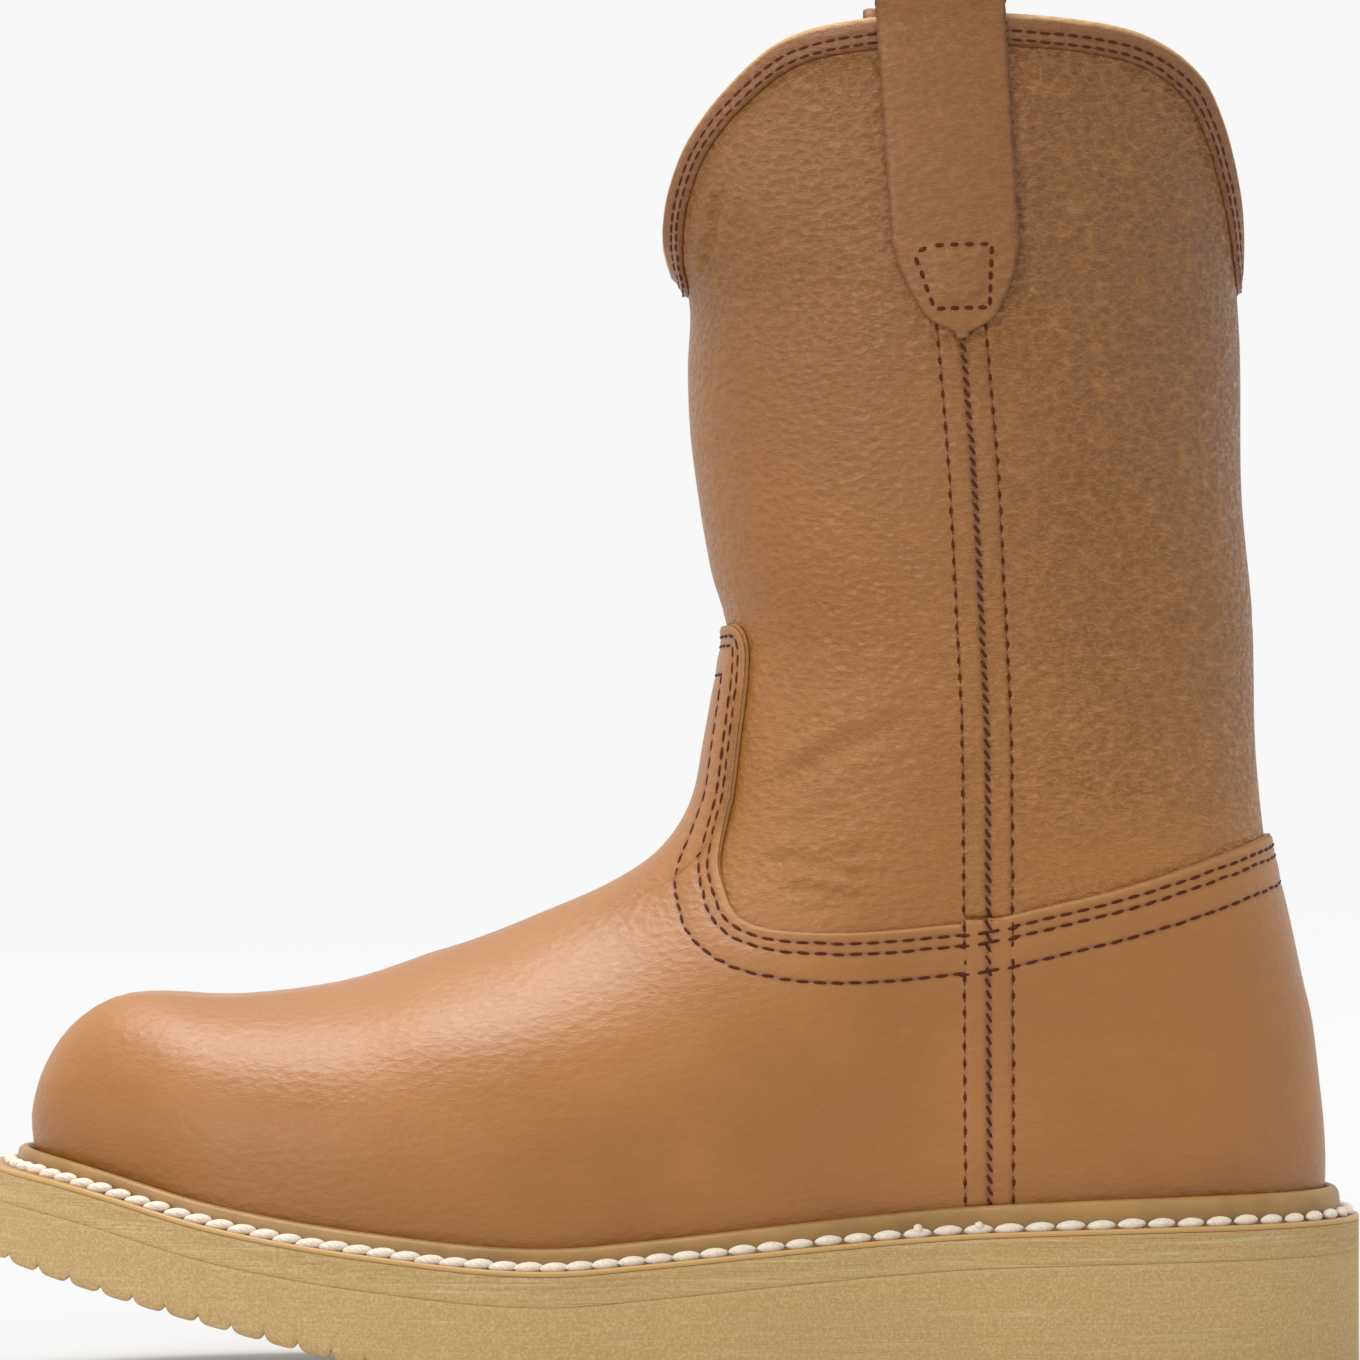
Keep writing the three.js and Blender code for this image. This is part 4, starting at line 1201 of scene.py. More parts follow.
@dataclass
class Overlay:
    """A layer of leather over the foot, from the feather line up to a drawn edge."""

    name: str
    node: str
    form: BootForm
    creases: Creases
    line: Array
    front: bool
    columns: int = 150
    low_rows: int = 62
    edge_rows: int = 34
    edge_band: float = 15.0 / 7.0
    blend_power: int = 6
    row_width: float = 0.55
    roll_depth: float = 0.55
    roll_width: float = 1.3
    puff: float = 0.22
    puff_inset: float = 7.8
    puff_width: float = 2.2
    face_grid: Array = field(init=False, default=None)
    normals: Array = field(init=False, default=None)

    def shares(self, u: Array, rows: Array) -> Array:
        """Share from front to back at a place between the edge line and the seam."""
        seam = self.form.seam_share(rows)
        if self.front:
            return seam * (1 - np.cos(math.pi / 2 * u))
        return 1 - (1 - seam) * (1 - np.cos(math.pi / 2 * u))

    def column_places(self) -> Array:
        """Places of the columns on one side, close together where the edge is steep."""
        u = np.linspace(0, 1, 2000)
        density = np.ones_like(u)
        if self.front:
            density = 1 + 2.2 * bell(u - 0.45, 0.16)
        run = np.cumsum(density)
        run = (run - run[0]) / (run[-1] - run[0])
        return np.interp(np.linspace(0, 1, self.columns + 1), run, u)

    def inside(self, x: Array, z: Array) -> Array:
        """Whether places of the side view are under the drawn edge."""
        line, far, past = self.line, 400.0, 30.0
        low, high = (-far, line[-1, 0] + past) if self.front else (line[0, 0] - past, far)
        foot = [[low, -far], [high, -far], [high, line[-1, 1]]]
        return within(np.vstack([foot, line[::-1], [[low, line[0, 1]]]]), x, z)

    def directions(self, u: Array, sides: Array, rows: Array) -> Array:
        """Directions square to the form, taken along its own rows and columns.

        Args:
            u: Place of each column between the edge line and the seam.
            sides: Side of each column.
            rows: Row numbers of the points.

        Returns:
            Directions, one for each point.
        """
        step, row_step = 0.006, 0.06
        ahead = self.form.point(sides, self.shares(u + step, rows), rows)
        behind_sides = np.where(u < step, -sides, sides)
        behind = self.form.point(behind_sides, self.shares(np.abs(u - step), rows), rows)
        higher, lower = rows + row_step, np.maximum(rows - row_step, 0)
        above = self.form.point(sides, self.shares(u, higher), higher)
        below = self.form.point(sides, self.shares(u, lower), lower)
        square = unit(np.cross(ahead - behind, above - below))
        return square * np.broadcast_to(sides, rows.shape)[..., None]

    def top_rows(self, u: Array) -> Array:
        """Row at which each column meets the drawn edge."""
        lowest, samples, span = 6, 1400, 5
        rows = np.linspace(lowest, self.form.top_row, samples)
        share = self.shares(u[:, None], rows[None, :].repeat(len(u), 0))
        points = self.form.point(OUTER, share, rows[None, :])
        under = self.inside(points[..., 0], points[..., 2])
        last = under.shape[1] - 1 - np.argmax(under[:, ::-1], axis=1)
        top = rows[last]
        padded = np.concatenate([top[1:3][::-1], top, top[-3:-1][::-1]])
        return np.convolve(padded, np.ones(span) / span, "valid")

    def ease_rows(self, run: Array) -> Array:
        """Even steps near the feather line that flatten out towards one."""
        return run / (1 + run ** self.blend_power) ** (1 / self.blend_power)

    def build(self, material: Material) -> Piece:
        """Build the layer with its cut edge.

        Args:
            material: The leather.

        Returns:
            The piece.
        """
        form = self.form
        half = self.column_places()
        top_half = self.top_rows(half)
        u = np.concatenate([half[::-1], half[1:]])
        top = np.concatenate([top_half[::-1], top_half[1:]])
        sides = np.concatenate([np.full(len(half), OUTER), np.full(len(half) - 1, INNER)])
        low = np.linspace(0, 1, self.low_rows, endpoint=False)
        edge = np.linspace(0, 1, self.edge_rows + 1)
        band = np.minimum(self.edge_band, top * 0.5)
        body = top - band
        full = body.max() / body
        eased = self.ease_rows(low[:, None] * full) / self.ease_rows(full)
        rows = np.concatenate([eased * body, body + edge[:, None] * band])
        share = self.shares(u[None, :], rows)
        base = form.point(sides[None, :], share, rows)
        normals = self.directions(u[None, :], sides[None, :], rows)
        column = len(half) // 2
        if np.mean(normals[:, :column, 1]) > 0:
            normals = -normals
        relief = self.creases.relief(sides[None, :], base[..., 0], base[..., 2])
        base = base + normals * relief[..., None]
        rim = base[-1] + normals[-1] * form.face
        flat = base.reshape(-1, 3)
        near = np.full(len(flat), 1e9)
        at_once = 40
        for start in range(0, len(rim), at_once):
            chunk = rim[start:start + at_once]
            near = np.minimum(near, np.linalg.norm(flat[:, None] - chunk[None], axis=2).min(1))
        near = np.sqrt(np.maximum(near.reshape(base.shape[:2]) ** 2 - form.face ** 2, 0))
        grooves = sum(bell(near - inset, self.row_width) * depth for inset, depth in ROW_INSETS)
        roll = self.roll_depth * (1 - smoothstep(near, 0, self.roll_width)) ** 2
        puff = self.puff * bell(near - self.puff_inset, self.puff_width)
        height = form.face - grooves - roll + puff
        self.face_grid = base + normals * height[..., None]
        self.normals = normals
        side_parts, under_count = (0.75, 0.5, 0.22), 14
        wall = [base[-1] + normals[-1] * (form.face * part) for part in side_parts]
        under_rows = np.linspace(len(base) - 1, 0, under_count).round().astype(int)
        under = base[under_rows] + normals[under_rows] * form.gap * 0.5
        loops = np.concatenate([self.face_grid, np.array(wall), under])
        piece = sweep(self.name, np.moveaxis(loops, 0, 1), False)
        cut, hidden = np.ones((len(side_parts), len(u))), np.zeros((under_count, len(u)))
        # Height above the sole, which drives the leather's painted shade next to the welt.
        rise = base[..., 2] - form.sole_top(base[..., 0])
        deep, high = 0.25, 40.0
        marks = {
            "rim": (bell(near, self.row_width), cut, hidden),
            # Share of painted shade in the stitch grooves, by their depth.
            "row": (np.clip(grooves / deep, 0, 1), cut * 0, hidden),
            "rise": (rise, cut * high, hidden + high),
        }
        for word, parts in marks.items():
            mark(piece, word, np.concatenate(parts).T)
        return dress(piece, material, "leather", self.node)

    def rows_of_stitches(self, thread: Seamstress, draw: Draw) -> None:
        """Sew the rows that follow the drawn edge.

        Args:
            thread: Where the stitches go.
            draw: Random source of small unevenness.
        """
        clear_share = 0.95
        skin = Skin(self.face_grid, False)
        edge, normals = self.face_grid[-1], self.normals[-1]
        along = unit(np.gradient(edge, axis=0))
        inward = unit(np.cross(normals, along))
        down = self.face_grid[-3] - edge
        inward *= np.sign(np.einsum("ij,ij->i", inward, down))[:, None]
        for inset, _ in ROW_INSETS:
            path = edge + inward * inset
            gap = np.linalg.norm(path[:, None] - edge[None], axis=2).min(1)
            keep = gap > inset * clear_share
            spots, out = skin.lay(path[keep], 0.0, normals[keep])
            thread.row(EDGE_STITCH, spots, skin, out, draw)


@dataclass
class CollarBinding:
    """A folded strip over the collar's edge, with two rows of stitches."""

    form: BootForm
    wall: UpperWall
    thickness: float = 0.8
    drop: float = 6.2
    rows: tuple = (2.9, 4.9)
    columns: int = 420

    def build(self, material: Material, thread: Seamstress, draw: Draw) -> Piece:
        """Build the strip and sew it.

        Args:
            material: The leather.
            thread: Where the stitches go.
            draw: Random source of small unevenness.

        Returns:
            The piece.
        """
        form = self.form
        turn = np.arange(self.columns) * 360 / self.columns
        side = np.where(turn <= 180, OUTER, INNER)
        share = (1 - np.cos(np.radians(turn))) / 2
        top = form.top_row + 1.0
        edge = form.point(side, share, np.full(len(turn), top))
        lower = form.point(side, share, np.full(len(turn), top - 0.02))
        along = unit(np.roll(edge, -1, 0) - np.roll(edge, 1, 0))
        around = form.point(side, share, np.full(len(turn), top - 0.01))
        level = unit(np.roll(around, -1, 0) - np.roll(around, 1, 0))
        out = unit(np.cross(level, edge - lower))
        middle = edge.mean(0) - np.array([0, 0, 10])
        flip = np.sign(np.einsum("ij,ij->i", out, (edge - middle) * [1, 1, 0]))
        out *= flip[:, None]
        down = unit(np.cross(along, out))
        down *= np.sign(np.einsum("ij,ij->i", down, lower - edge))[:, None]
        face = form.gap + self.thickness
        back = -form.leather - 2 * form.gap
        section = (
            (0.16, self.drop), (0.5, self.drop - 0.6), (face - 0.02, 5.3),
            (face - 0.16, self.rows[1]), (face - 0.02, 4.4), (face, 3.9), (face - 0.02, 3.4),
            (face - 0.16, self.rows[0]), (face - 0.02, 2.4), (face + 0.1, 1.6), (face, 0.4),
            (face - 0.3, -0.5), (0.1, -1.0), (-1.0, -face),
            (back + 0.4, -1.0), (back - 0.5, -0.5), (back - self.thickness, 0.4),
            (back - self.thickness, 2.5), (back - self.thickness, self.drop - 0.3),
            (back - 0.4, self.drop), (back, self.drop - 0.3), (back, 0.2),
            (0.12, 0.2), (0.12, self.drop - 0.3),
        )
        skin = Skin(self.wall.grid, True)
        loops = []
        for away, below in section:
            ring = edge + down * below
            if below > 0.5:
                ring, normals = skin.lay(ring, 0.0, out)
                ring = ring + unit(normals * 0.4 + out * 0.6) * away
            else:
                ring = ring + out * away
            loops.append(ring)
        piece = sweep("binding_strip", np.moveaxis(np.array(loops), 0, 1), True)
        mark(piece, "rise", np.full(len(piece.data.vertices), 60.0))
        pale = [1.0 if below < 0 else 0.0 for _, below in section]
        # Share of painted shade along the two stitch rows.
        near_row = [
            max(bell(below - row, 0.5) for row in self.rows) * (away > 0) for away, below in section
        ]
        mark(piece, "rim", np.tile(pale, self.columns))
        mark(piece, "row", np.tile(near_row, self.columns))
        outside = 13
        bound = Skin(np.array(loops[:outside]), True)
        for inset in self.rows:
            path = edge + down * inset + out * face
            closed, outward = np.vstack([path, path[:1]]), np.vstack([out, out[:1]])
            thread.row(COLLAR_STITCH, closed, bound, outward, draw)
        return dress(piece, material, "leather", "collar_binding")


@dataclass
class SideSeam:
    """A smooth raised strip with a thread down its middle and a row on each flank."""

    form: BootForm
    creases: Creases
    side: int
    half: float = 6.3
    flank: float = 5.4
    raised: float = 0.38
    groove_share: float = 0.75
    row_depth: float = 0.22
    across: int = 26

    def strip(
        self, name: str, node: str, low: float, high: float, base: float, material: Material,
    ) -> tuple[Array, Array]:
        """Build one length of the strip.

        Args:
            name: Name of the piece.
            node: The solid that it stands for.
            low: Height of its lower end.
            high: Height of its upper end.
            base: Distance of its seat from the upper's form.
            material: The leather.

        Returns:
            The strip's outer surface as a grid, and its directions.
        """
        form = self.form
        z = np.linspace(low, high, max(int((high - low) / 1.1), 8))[:, None]
        offset = np.linspace(-self.half, self.half, self.across + 1)[None, :]
        x = form.seam_x(z) + offset
        z = np.broadcast_to(z, x.shape)
        seat = form.side_point(self.side, x, z)
        normals = grid_normals(seat, False)
        normals *= np.sign(normals[..., 1:2] * self.side)
        relief = self.creases.relief(np.full(x.shape, self.side), x, z)
        away = np.abs(offset)
        plateau = 1 - smoothstep(away, self.flank - 0.9, self.half)
        groove = bell(away, 0.9)
        lines = bell(away - self.flank, 0.55)
        rolled = 0.5 * (1 - smoothstep(high - z, 0, 1.5)) ** 2
        drawn_in = self.groove_share * self.raised * groove + self.row_depth * lines
        height = base + relief + self.raised * plateau - drawn_in - rolled
        face = seat + normals * height[..., None]
        under = seat + normals * (base + relief - 0.3)[..., None]
        loops = np.concatenate([face, under[:, ::-1]], axis=1)
        piece = sweep(name, loops, False)
        rise = z - form.sole_top(x)
        # Share of painted shade in the middle groove and along the flank rows.
        row = np.clip(lines * 0.7 + groove, 0, 1) * np.ones_like(x)
        mark(piece, "rise", np.concatenate([rise, rise], axis=1))
        mark(piece, "row", np.concatenate([row, row * 0], axis=1))
        dress(piece, material, "leather", node)
        return face, normals

    def sew(
        self, face: Array, normals: Array, thread: Seamstress, fine: Seamstress, draw: Draw,
    ) -> None:
        """Sew the middle and the flanks.

        Args:
            face: The strip's outer surface.
            normals: Its directions.
            thread: Where the strong stitches go.
            fine: Where the fine thread between them goes.
            draw: Random source of small unevenness.
        """
        skin = Skin(face, False)
        middle = self.across // 2
        thread.row(CENTRE_STITCH, face[:, middle], skin, normals[:, middle], draw)
        for sign in (-1, 1):
            place = middle + sign * self.flank / self.half * middle
            low = int(place)
            path = lerp(face[:, low], face[:, low + 1], place - low)
            thread.row(FLANK_STITCH, path, skin, normals[:, low], draw)
            fine.row(FLANK_THREAD, path, skin, normals[:, low], draw)

    def cross_rows(self, face: Array, join_z: float, thread: Seamstress, draw: Draw) -> None:
        """Carry the rows of the drawn edge across the foot's strip.

        Args:
            face: The strip's outer surface.
            join_z: Height at which the two layers meet the strip.
            thread: Where the stitches go.
            draw: Random source of small unevenness.
        """
        edge_slope, count = 0.17, 20
        skin = Skin(face, False)
        offset = np.linspace(-self.half, self.half, count)
        for inset, _ in ROW_INSETS:
            z = join_z - inset + edge_slope * offset
            x = self.form.seam_x(z) + offset
            path = self.form.side_point(self.side, x, z)
            outward = np.tile([0.0, float(self.side), 0.0], (len(path), 1))
            thread.row(CROSS_STITCH, path, skin, outward, draw)


@dataclass
class PullStrap:
    """A pull strap: up the outside, over the collar in a loop, and down inside."""

    form: BootForm
    side: int
    width: float = 28.4
    thickness: float = 1.8
    drop: float = 69.5
    taper: float = 20.0
    nib: float = 1.2
    inside_drop: float = 44.0
    loop_rise: float = 12.0
    loop_bow: float = 3.8
    binding: float = 0.8
    box_rise: float = 0.9
    box_ease: float = 3.4
    roll_depth: float = 0.5
    roll_width: float = 1.4
    steps: int = 150
    tip_steps: int = 25
    across: int = 26
    box: tuple = ((-9.1, -52.3), (-5.2, -50.5), (7.8, -50.1), (6.4, -64.0), (-5.6, -64.2))

    def path(self) -> tuple[Array, Array]:
        """Middle line of the strap, as distance from the form and height at the collar."""
        gap, thick = self.form.gap, self.thickness
        out = gap + thick / 2
        inside = -self.form.leather - 2 * gap - thick / 2
        past = inside - self.binding - 2 * gap
        over = out + self.binding + gap / 2
        middle = (out + inside) / 2
        rise, bow, drop = self.loop_rise, self.loop_bow, self.drop
        knots = np.array([
            (out, -drop - self.nib), (out, -drop * 0.75), (out, -drop * 0.5), (out, -drop * 0.28),
            (over, -drop * 0.14), (over + gap, 0), (out + bow, rise * 0.52),
            (out + bow * 0.4, rise * 0.85), (middle, rise - thick / 2),
            (inside - bow * 0.4, rise * 0.85), (past - bow / 2, rise * 0.52),
            (past, 0), (past, -drop * 0.14), (inside, -self.inside_drop * 0.6),
            (inside, -self.inside_drop),
        ])
        padded = np.vstack([knots[:1], knots, knots[-1:]])
        tip = 1.4
        t = np.concatenate([
            np.linspace(0, tip, self.tip_steps + 1)[:-1],
            np.linspace(tip, len(knots) - 1, self.steps),
        ])
        i = np.minimum(t.astype(int), len(knots) - 2)
        f = (t - i)[:, None]
        p0, p1, p2, p3 = (padded[i + k] for k in range(4))
        v0, v1 = (p2 - p0) / 2, (p3 - p1) / 2
        cubic, square = 2 * p1 - 2 * p2 + v0 + v1, -3 * p1 + 3 * p2 - 2 * v0 - v1
        spots = cubic * f ** 3 + square * f ** 2 + v0 * f + p1
        return spots, unit(np.gradient(spots, axis=0))

    def surface(self, spots: Array, ahead: Array, across: Array, face: Array) -> Array:
        """Points of the strap.

        Args:
            spots: Middle line.
            ahead: Its directions.
            across: Place across the strap, in millimetres, for each point of a section.
            face: Distance from the strap's middle surface.

        Returns:
            Points of each section.
        """
        z = self.form.collar_top + spots[:, 1:] + face * -ahead[:, :1]
        wall_z = np.minimum(z, self.form.collar_top)
        x = self.form.seam_x(wall_z) + across
        out = spots[:, :1] + face * ahead[:, 1:]
        half = self.form.half_width(self.side, x, wall_z)
        return np.stack([x, self.side * (half + out), z], -1)

    def inside_box(self, x: Array, z: Array) -> Array:
        """Distance inside the stitched box, in millimetres, or 0 outside it."""
        corners = np.array(self.box)
        near = np.full(np.broadcast(x, z).shape, 1e9)
        for (ax, az), (bx, bz) in zip(corners, np.roll(corners, -1, 0)):
            length = math.hypot(bx - ax, bz - az)
            run = ((x - ax) * (bx - ax) + (z - az) * (bz - az)) / length ** 2
            run = np.clip(run, 0, 1)
            away = np.hypot(x - ax - run * (bx - ax), z - az - run * (bz - az))
            near = np.minimum(near, away)
        return np.where(within(corners, x, z), near, 0.0)

    def build(self, material: Material, thread: Seamstress, draw: Draw) -> Piece:
        """Build the strap and its stitched box.

        Args:
            material: The leather.
            thread: Where the stitches go.
            draw: Random source of small unevenness.

        Returns:
            The piece.
        """
        spots, ahead = self.path()
        end = Curve(STRAP_END)
        from_tip = (spots[:, 1] + self.drop) / self.taper
        outside = spots[:, 0] > (spots[:, 0].max() + spots[:, 0].min()) / 2
        half = self.width / 2 * np.where(outside, end(from_tip), 1.0)
        ragged = 1 + 0.006 * np.sin(np.arange(len(half)) * 1.3) + draw.normal(0, 0.003, len(half))
        half = (half * ragged)[:, None]
        share = np.linspace(-1, 1, self.across + 1)[None, :]
        across = half * share
        edge = half - np.abs(across)
        flat = self.thickness / 2
        roll = self.roll_depth * (1 - smoothstep(edge, 0, self.roll_width)) ** 2
        deep = self.inside_box(across, np.broadcast_to(spots[:, 1:], across.shape))
        box = np.where(outside[:, None], self.box_rise * smoothstep(deep, 0, self.box_ease), 0.0)
        front = self.surface(spots, ahead, across, flat - roll + box)
        back = self.surface(spots, ahead, across[:, ::-1], -flat + roll[:, ::-1] * 0.6)
        name = "strap_leather_outer" if self.side == OUTER else "strap_leather_inner"
        piece = sweep(name, np.concatenate([front, back], axis=1), False)
        rim = np.concatenate([bell(edge, 0.5), bell(edge, 0.5)[:, ::-1]], axis=1)
        mark(piece, "rise", np.full(len(piece.data.vertices), 60.0))
        mark(piece, "rim", rim)
        skin = Skin(front, False)
        low = spots[:, 1] < -30
        corners = np.array(self.box + self.box[:1])
        count = 12
        part = np.linspace(0, 1, count)[:, None]
        for first, last in zip(corners[:-1], corners[1:]):
            leg = lerp(first, last, part)
            z = self.form.collar_top + leg[:, 1]
            x = self.form.seam_x(z) + leg[:, 0]
            y = self.side * (self.form.half_width(self.side, x, z) + spots[low, 0].mean() + flat)
            path = np.column_stack([x, y, z])
            outward = np.tile([0, self.side, 0], (count, 1)).astype(float)
            thread.row(BOX_STITCH, path, skin, outward, draw)
        node = "pull_strap_outer" if self.side == OUTER else "pull_strap_inner"
        return dress(piece, material, "leather", node)


@dataclass
class StormWelt:
    """The welt: a flange with a rounded ridge against the upper and beads of lock stitch."""

    form: BootForm
    steps: int = 260
    flange: float = 1.15
    ridge_height: float = 4.6
    heel_rise: float = 1.8
    rise_from: float = -40.0
    ridge_width: float = 3.8
    bead_away: float = 1.75
    knots: tuple = ((55.8, 1.1), (70.7, 0.8))
    knot: Stitch = Stitch(pitch=1.0, length=2.4, width=2.0, height=1.9, around=10, along=8)
    bead: Stitch = Stitch(
        pitch=6.0, length=6.9, width=2.9, height=2.5, slant=10.0, power=2.0, around=12, along=12,
    )
    toe_pitch: float = 5.4
    heel_pitch: float = 6.8

    def ridge_scale(self, x: Array) -> Array:
        """Height of the ridge over its height at the toe."""
        grown = smoothstep(x, self.rise_from, self.form.heel_x)
        return 1 + self.heel_rise / self.ridge_height * grown

    def build(self, material: Material) -> Piece:
        """Build the strip.

        Args:
            material: The welt's leather.

        Returns:
            The piece.
        """
        form = self.form
        ring = EdgeRing(form, self.steps)
        inner = form.face + 1.8 * form.gap
        outer = inner + self.ridge_width
        tall = self.ridge_height
        ledge = -form.leather - 1.5
        # Each row of the section: distance out from the feather line, share of the overhang added,
        # height, share of the orange cut edge, and share of painted shade in the grooves.
        section = [
            (0, 1, -self.flange, 1, 0), (0.05, 1, -0.6, 1, 0), (-0.1, 1, -0.12, 1, 0),
            (-0.5, 1, 0, 0.7, 0), (outer + 3.0, 0, 0, 0, 0.3), (outer + 0.6, 0, -0.1, 0, 1),
            (outer + 0.1, 0, 0.5, 0, 0.8),
        ]
        for turn in np.radians(np.arange(0, 181, 15)):
            away = inner + self.ridge_width / 2 * (1 + math.cos(turn))
            lean = form.feather_tuck * max(-math.cos(turn), 0) * 0.8
            # Painted shade on the ridge's side that faces the upper.
            inside = max(-math.cos(turn) - 0.55, 0) * 2
            section.append((away + lean, 0, tall * (0.55 + 0.45 * math.sin(turn)), 0, inside))
        section += [(inner, 0, 0, 0, 1), (ledge, 0, 0, 0, 0), (ledge, 0, -self.flange, 0, 0)]
        loops = []
        for away, share, height, _, _ in section:
            scale = self.ridge_scale if height > 0 else np.ones_like
            loops.append(ring.ring(away, share, lambda x: height * scale(x)))
        piece = sweep("storm_welt", np.moveaxis(np.array(loops), 0, 1), True)
        count = 2 * self.steps
        mark(piece, "edge", np.tile([row[3] for row in section], count))
        # Where the welt's painted shade falls.
        mark(piece, "groove", np.tile([row[4] for row in section], count))
        return dress(piece, material, "welt_leather", "welt")

    def sew(self, thread: Seamstress, draw: Draw) -> None:
        """Set the beads of lock stitch in the groove beside the ridge.

        Args:
            thread: Where the beads go.
            draw: Random source of small unevenness.
        """
        form = self.form
        ring = EdgeRing(form, self.steps)
        away = form.face + 1.8 * form.gap + self.ridge_width + self.bead_away
        seat, unevenness, heel_starts, heel_ends = 0.75, 0.08, -60, 60
        path = ring.ring(away, 0, lambda x: np.full(len(x), seat))
        path = np.vstack([path, path[:1]])
        heel_share = smoothstep(path[:, 0], heel_starts, heel_ends)
        spots, along = resample(path, lerp(self.toe_pitch, self.heel_pitch, heel_share))
        out = unit(np.cross(along, [0.0, 0.0, 1.0]))
        spots[:, 2] += draw.normal(0, unevenness, len(spots))
        lean = unit(np.array([0.0, 0.0, 1.0]) + 0.25 * out)
        thread.add(*self.bead.sew(spots, along, lean))
        upright = np.array([[0.0, 0.0, 1.0]])
        for place, height in self.knots:
            k = int(np.argmin(np.abs(spots[:, 0] - place) + 1000 * (spots[:, 1] > 0)))
            at = spots[k:k + 1] + [[0.0, -0.6, height]]
            thread.add(*self.knot.sew(at, upright, out[k:k + 1]))


@dataclass
class WedgeSole:
    """Midsole and outsole: one wedge with transverse bars underneath."""

    form: BootForm
    flange: float = 1.25
    seam_depth: float = 7.9
    tread_pitch: float = 7.5
    tread_depth: float = 2.3
    spring_slope: float = 0.243
    spring_start: float = 145.0
    spring_bend: float = 50.0
    end_stations: int = 120
    stations: int = 1040
    few_stations: int = 200

    def bottom(self, x: Array) -> Array:
        """Height of the underside, without its notches."""
        ahead = self.form.sole_toe_x + self.spring_start - x
        bend = self.spring_slope * ahead ** 2 / (2 * self.spring_bend)
        straight = self.spring_slope * (ahead - self.spring_bend / 2)
        return np.where(ahead <= 0, 0.0, np.where(ahead < self.spring_bend, bend, straight))

    def notch(self, x: Array) -> Array:
        """Height that the notches between the bars add."""
        form = self.form
        bars = math.floor(form.sole_length / self.tread_pitch)
        first = form.sole_toe_x + (form.sole_length - (bars - 1) * self.tread_pitch) / 2
        phase = (x - first) / self.tread_pitch
        away = np.abs(phase - np.round(phase)) * 2
        return self.tread_depth * (1 - np.sqrt(1 - (1 - away) ** 4))

    def half_widths(self, x: Array) -> tuple[Array, Array]:
        """The outline's outer and inner Y at each station."""
        outline = EdgeRing(self.form, 400).outline()
        outline = np.roll(outline, -int(np.argmin(outline[:, 0])), 0)
        heel = int(np.argmax(outline[:, 0]))
        outer, inner = outline[: heel + 1], np.vstack([outline[heel:], outline[:1]])[::-1]
        return tuple(
            np.interp(x, np.maximum.accumulate(half[:, 0]), half[:, 1]) for half in (outer, inner)
        )

    def build(
        self, name: str, node: str, slot: str, top: float, base: Optional[float],
        material: Material,
    ) -> Piece:
        """Build one layer of the sole.

        Args:
            name: Name of the piece.
            node: The solid that it stands for.
            slot: Its material slot.
            top: Depth of its top below the sole's top line.
            base: Depth of its underside, or None where it stands on the ground.
            material: Its rubber.

        Returns:
            The piece.
        """
        form = self.form
        ends = form.sole_length / 2 * (1 - np.cos(np.linspace(0, math.pi, self.end_stations)))
        stations = self.stations if base is None else self.few_stations
        even = np.linspace(0, form.sole_length, stations)
        run = np.unique(np.round(np.concatenate([ends, even]), 2))
        close = 0.004
        run = run[(run > close) & (run < form.sole_length - close)]
        x = form.sole_toe_x + run
        outer, inner = self.half_widths(x)
        high = form.sole_top(x) - top
        if base is None:
            low = self.bottom(x) + self.notch(x)
        else:
            low = form.sole_top(x) - base
        middle = (outer + inner) / 2
        section = (
            (0.0, 0.0, 0.0), (0.6, 0.0, 0.0), (1.0, 0.1, 0.0), (1.0, 0.0, 0.06), (1.0, 0.0, 1.2),
            (1.0, 0.0, 3.0), (1.0, 0.0, 6.0), (1.0, 0.0, 10.0),
        )
        wall = ((1.0, 0.0, 0.35), (1.0, 0.0, 0.04), (0.995, 0.0, 0.0))
        if base is None:
            wall = (
                (1.0, 0.0, 3.0), (1.0, 0.0, 1.2), (1.0, -0.25, 0.45), (1.0, -0.7, 0.0),
                (0.6, 0.0, 0.0), (0.0, 0.0, 0.0),
            )
        tall, upper_part, lower_part = high - low, 0.5, 0.45
        profile = [
            (share, -tuck, np.minimum(depth, tall * upper_part)) for share, tuck, depth in section
        ]
        profile += [
            (share, tuck, tall - np.minimum(rise, tall * lower_part)) for share, tuck, rise in wall
        ]
        columns = [
            np.column_stack([x, middle + half * share + np.sign(half) * tuck, high - fall])
            for half, order in ((outer - middle, profile), (inner - middle, profile[::-1]))
            for share, tuck, fall in order
        ]
        piece = sweep(name, np.moveaxis(np.array(columns), 0, 1), False)
        depths = [fall + top for _, _, fall in profile]
        depth = np.array(depths + depths[::-1]).T
        mark(piece, "depth", depth)
        mark(piece, "line", bell(depth - self.seam_depth, 0.9))
        return dress(piece, material, slot, node)


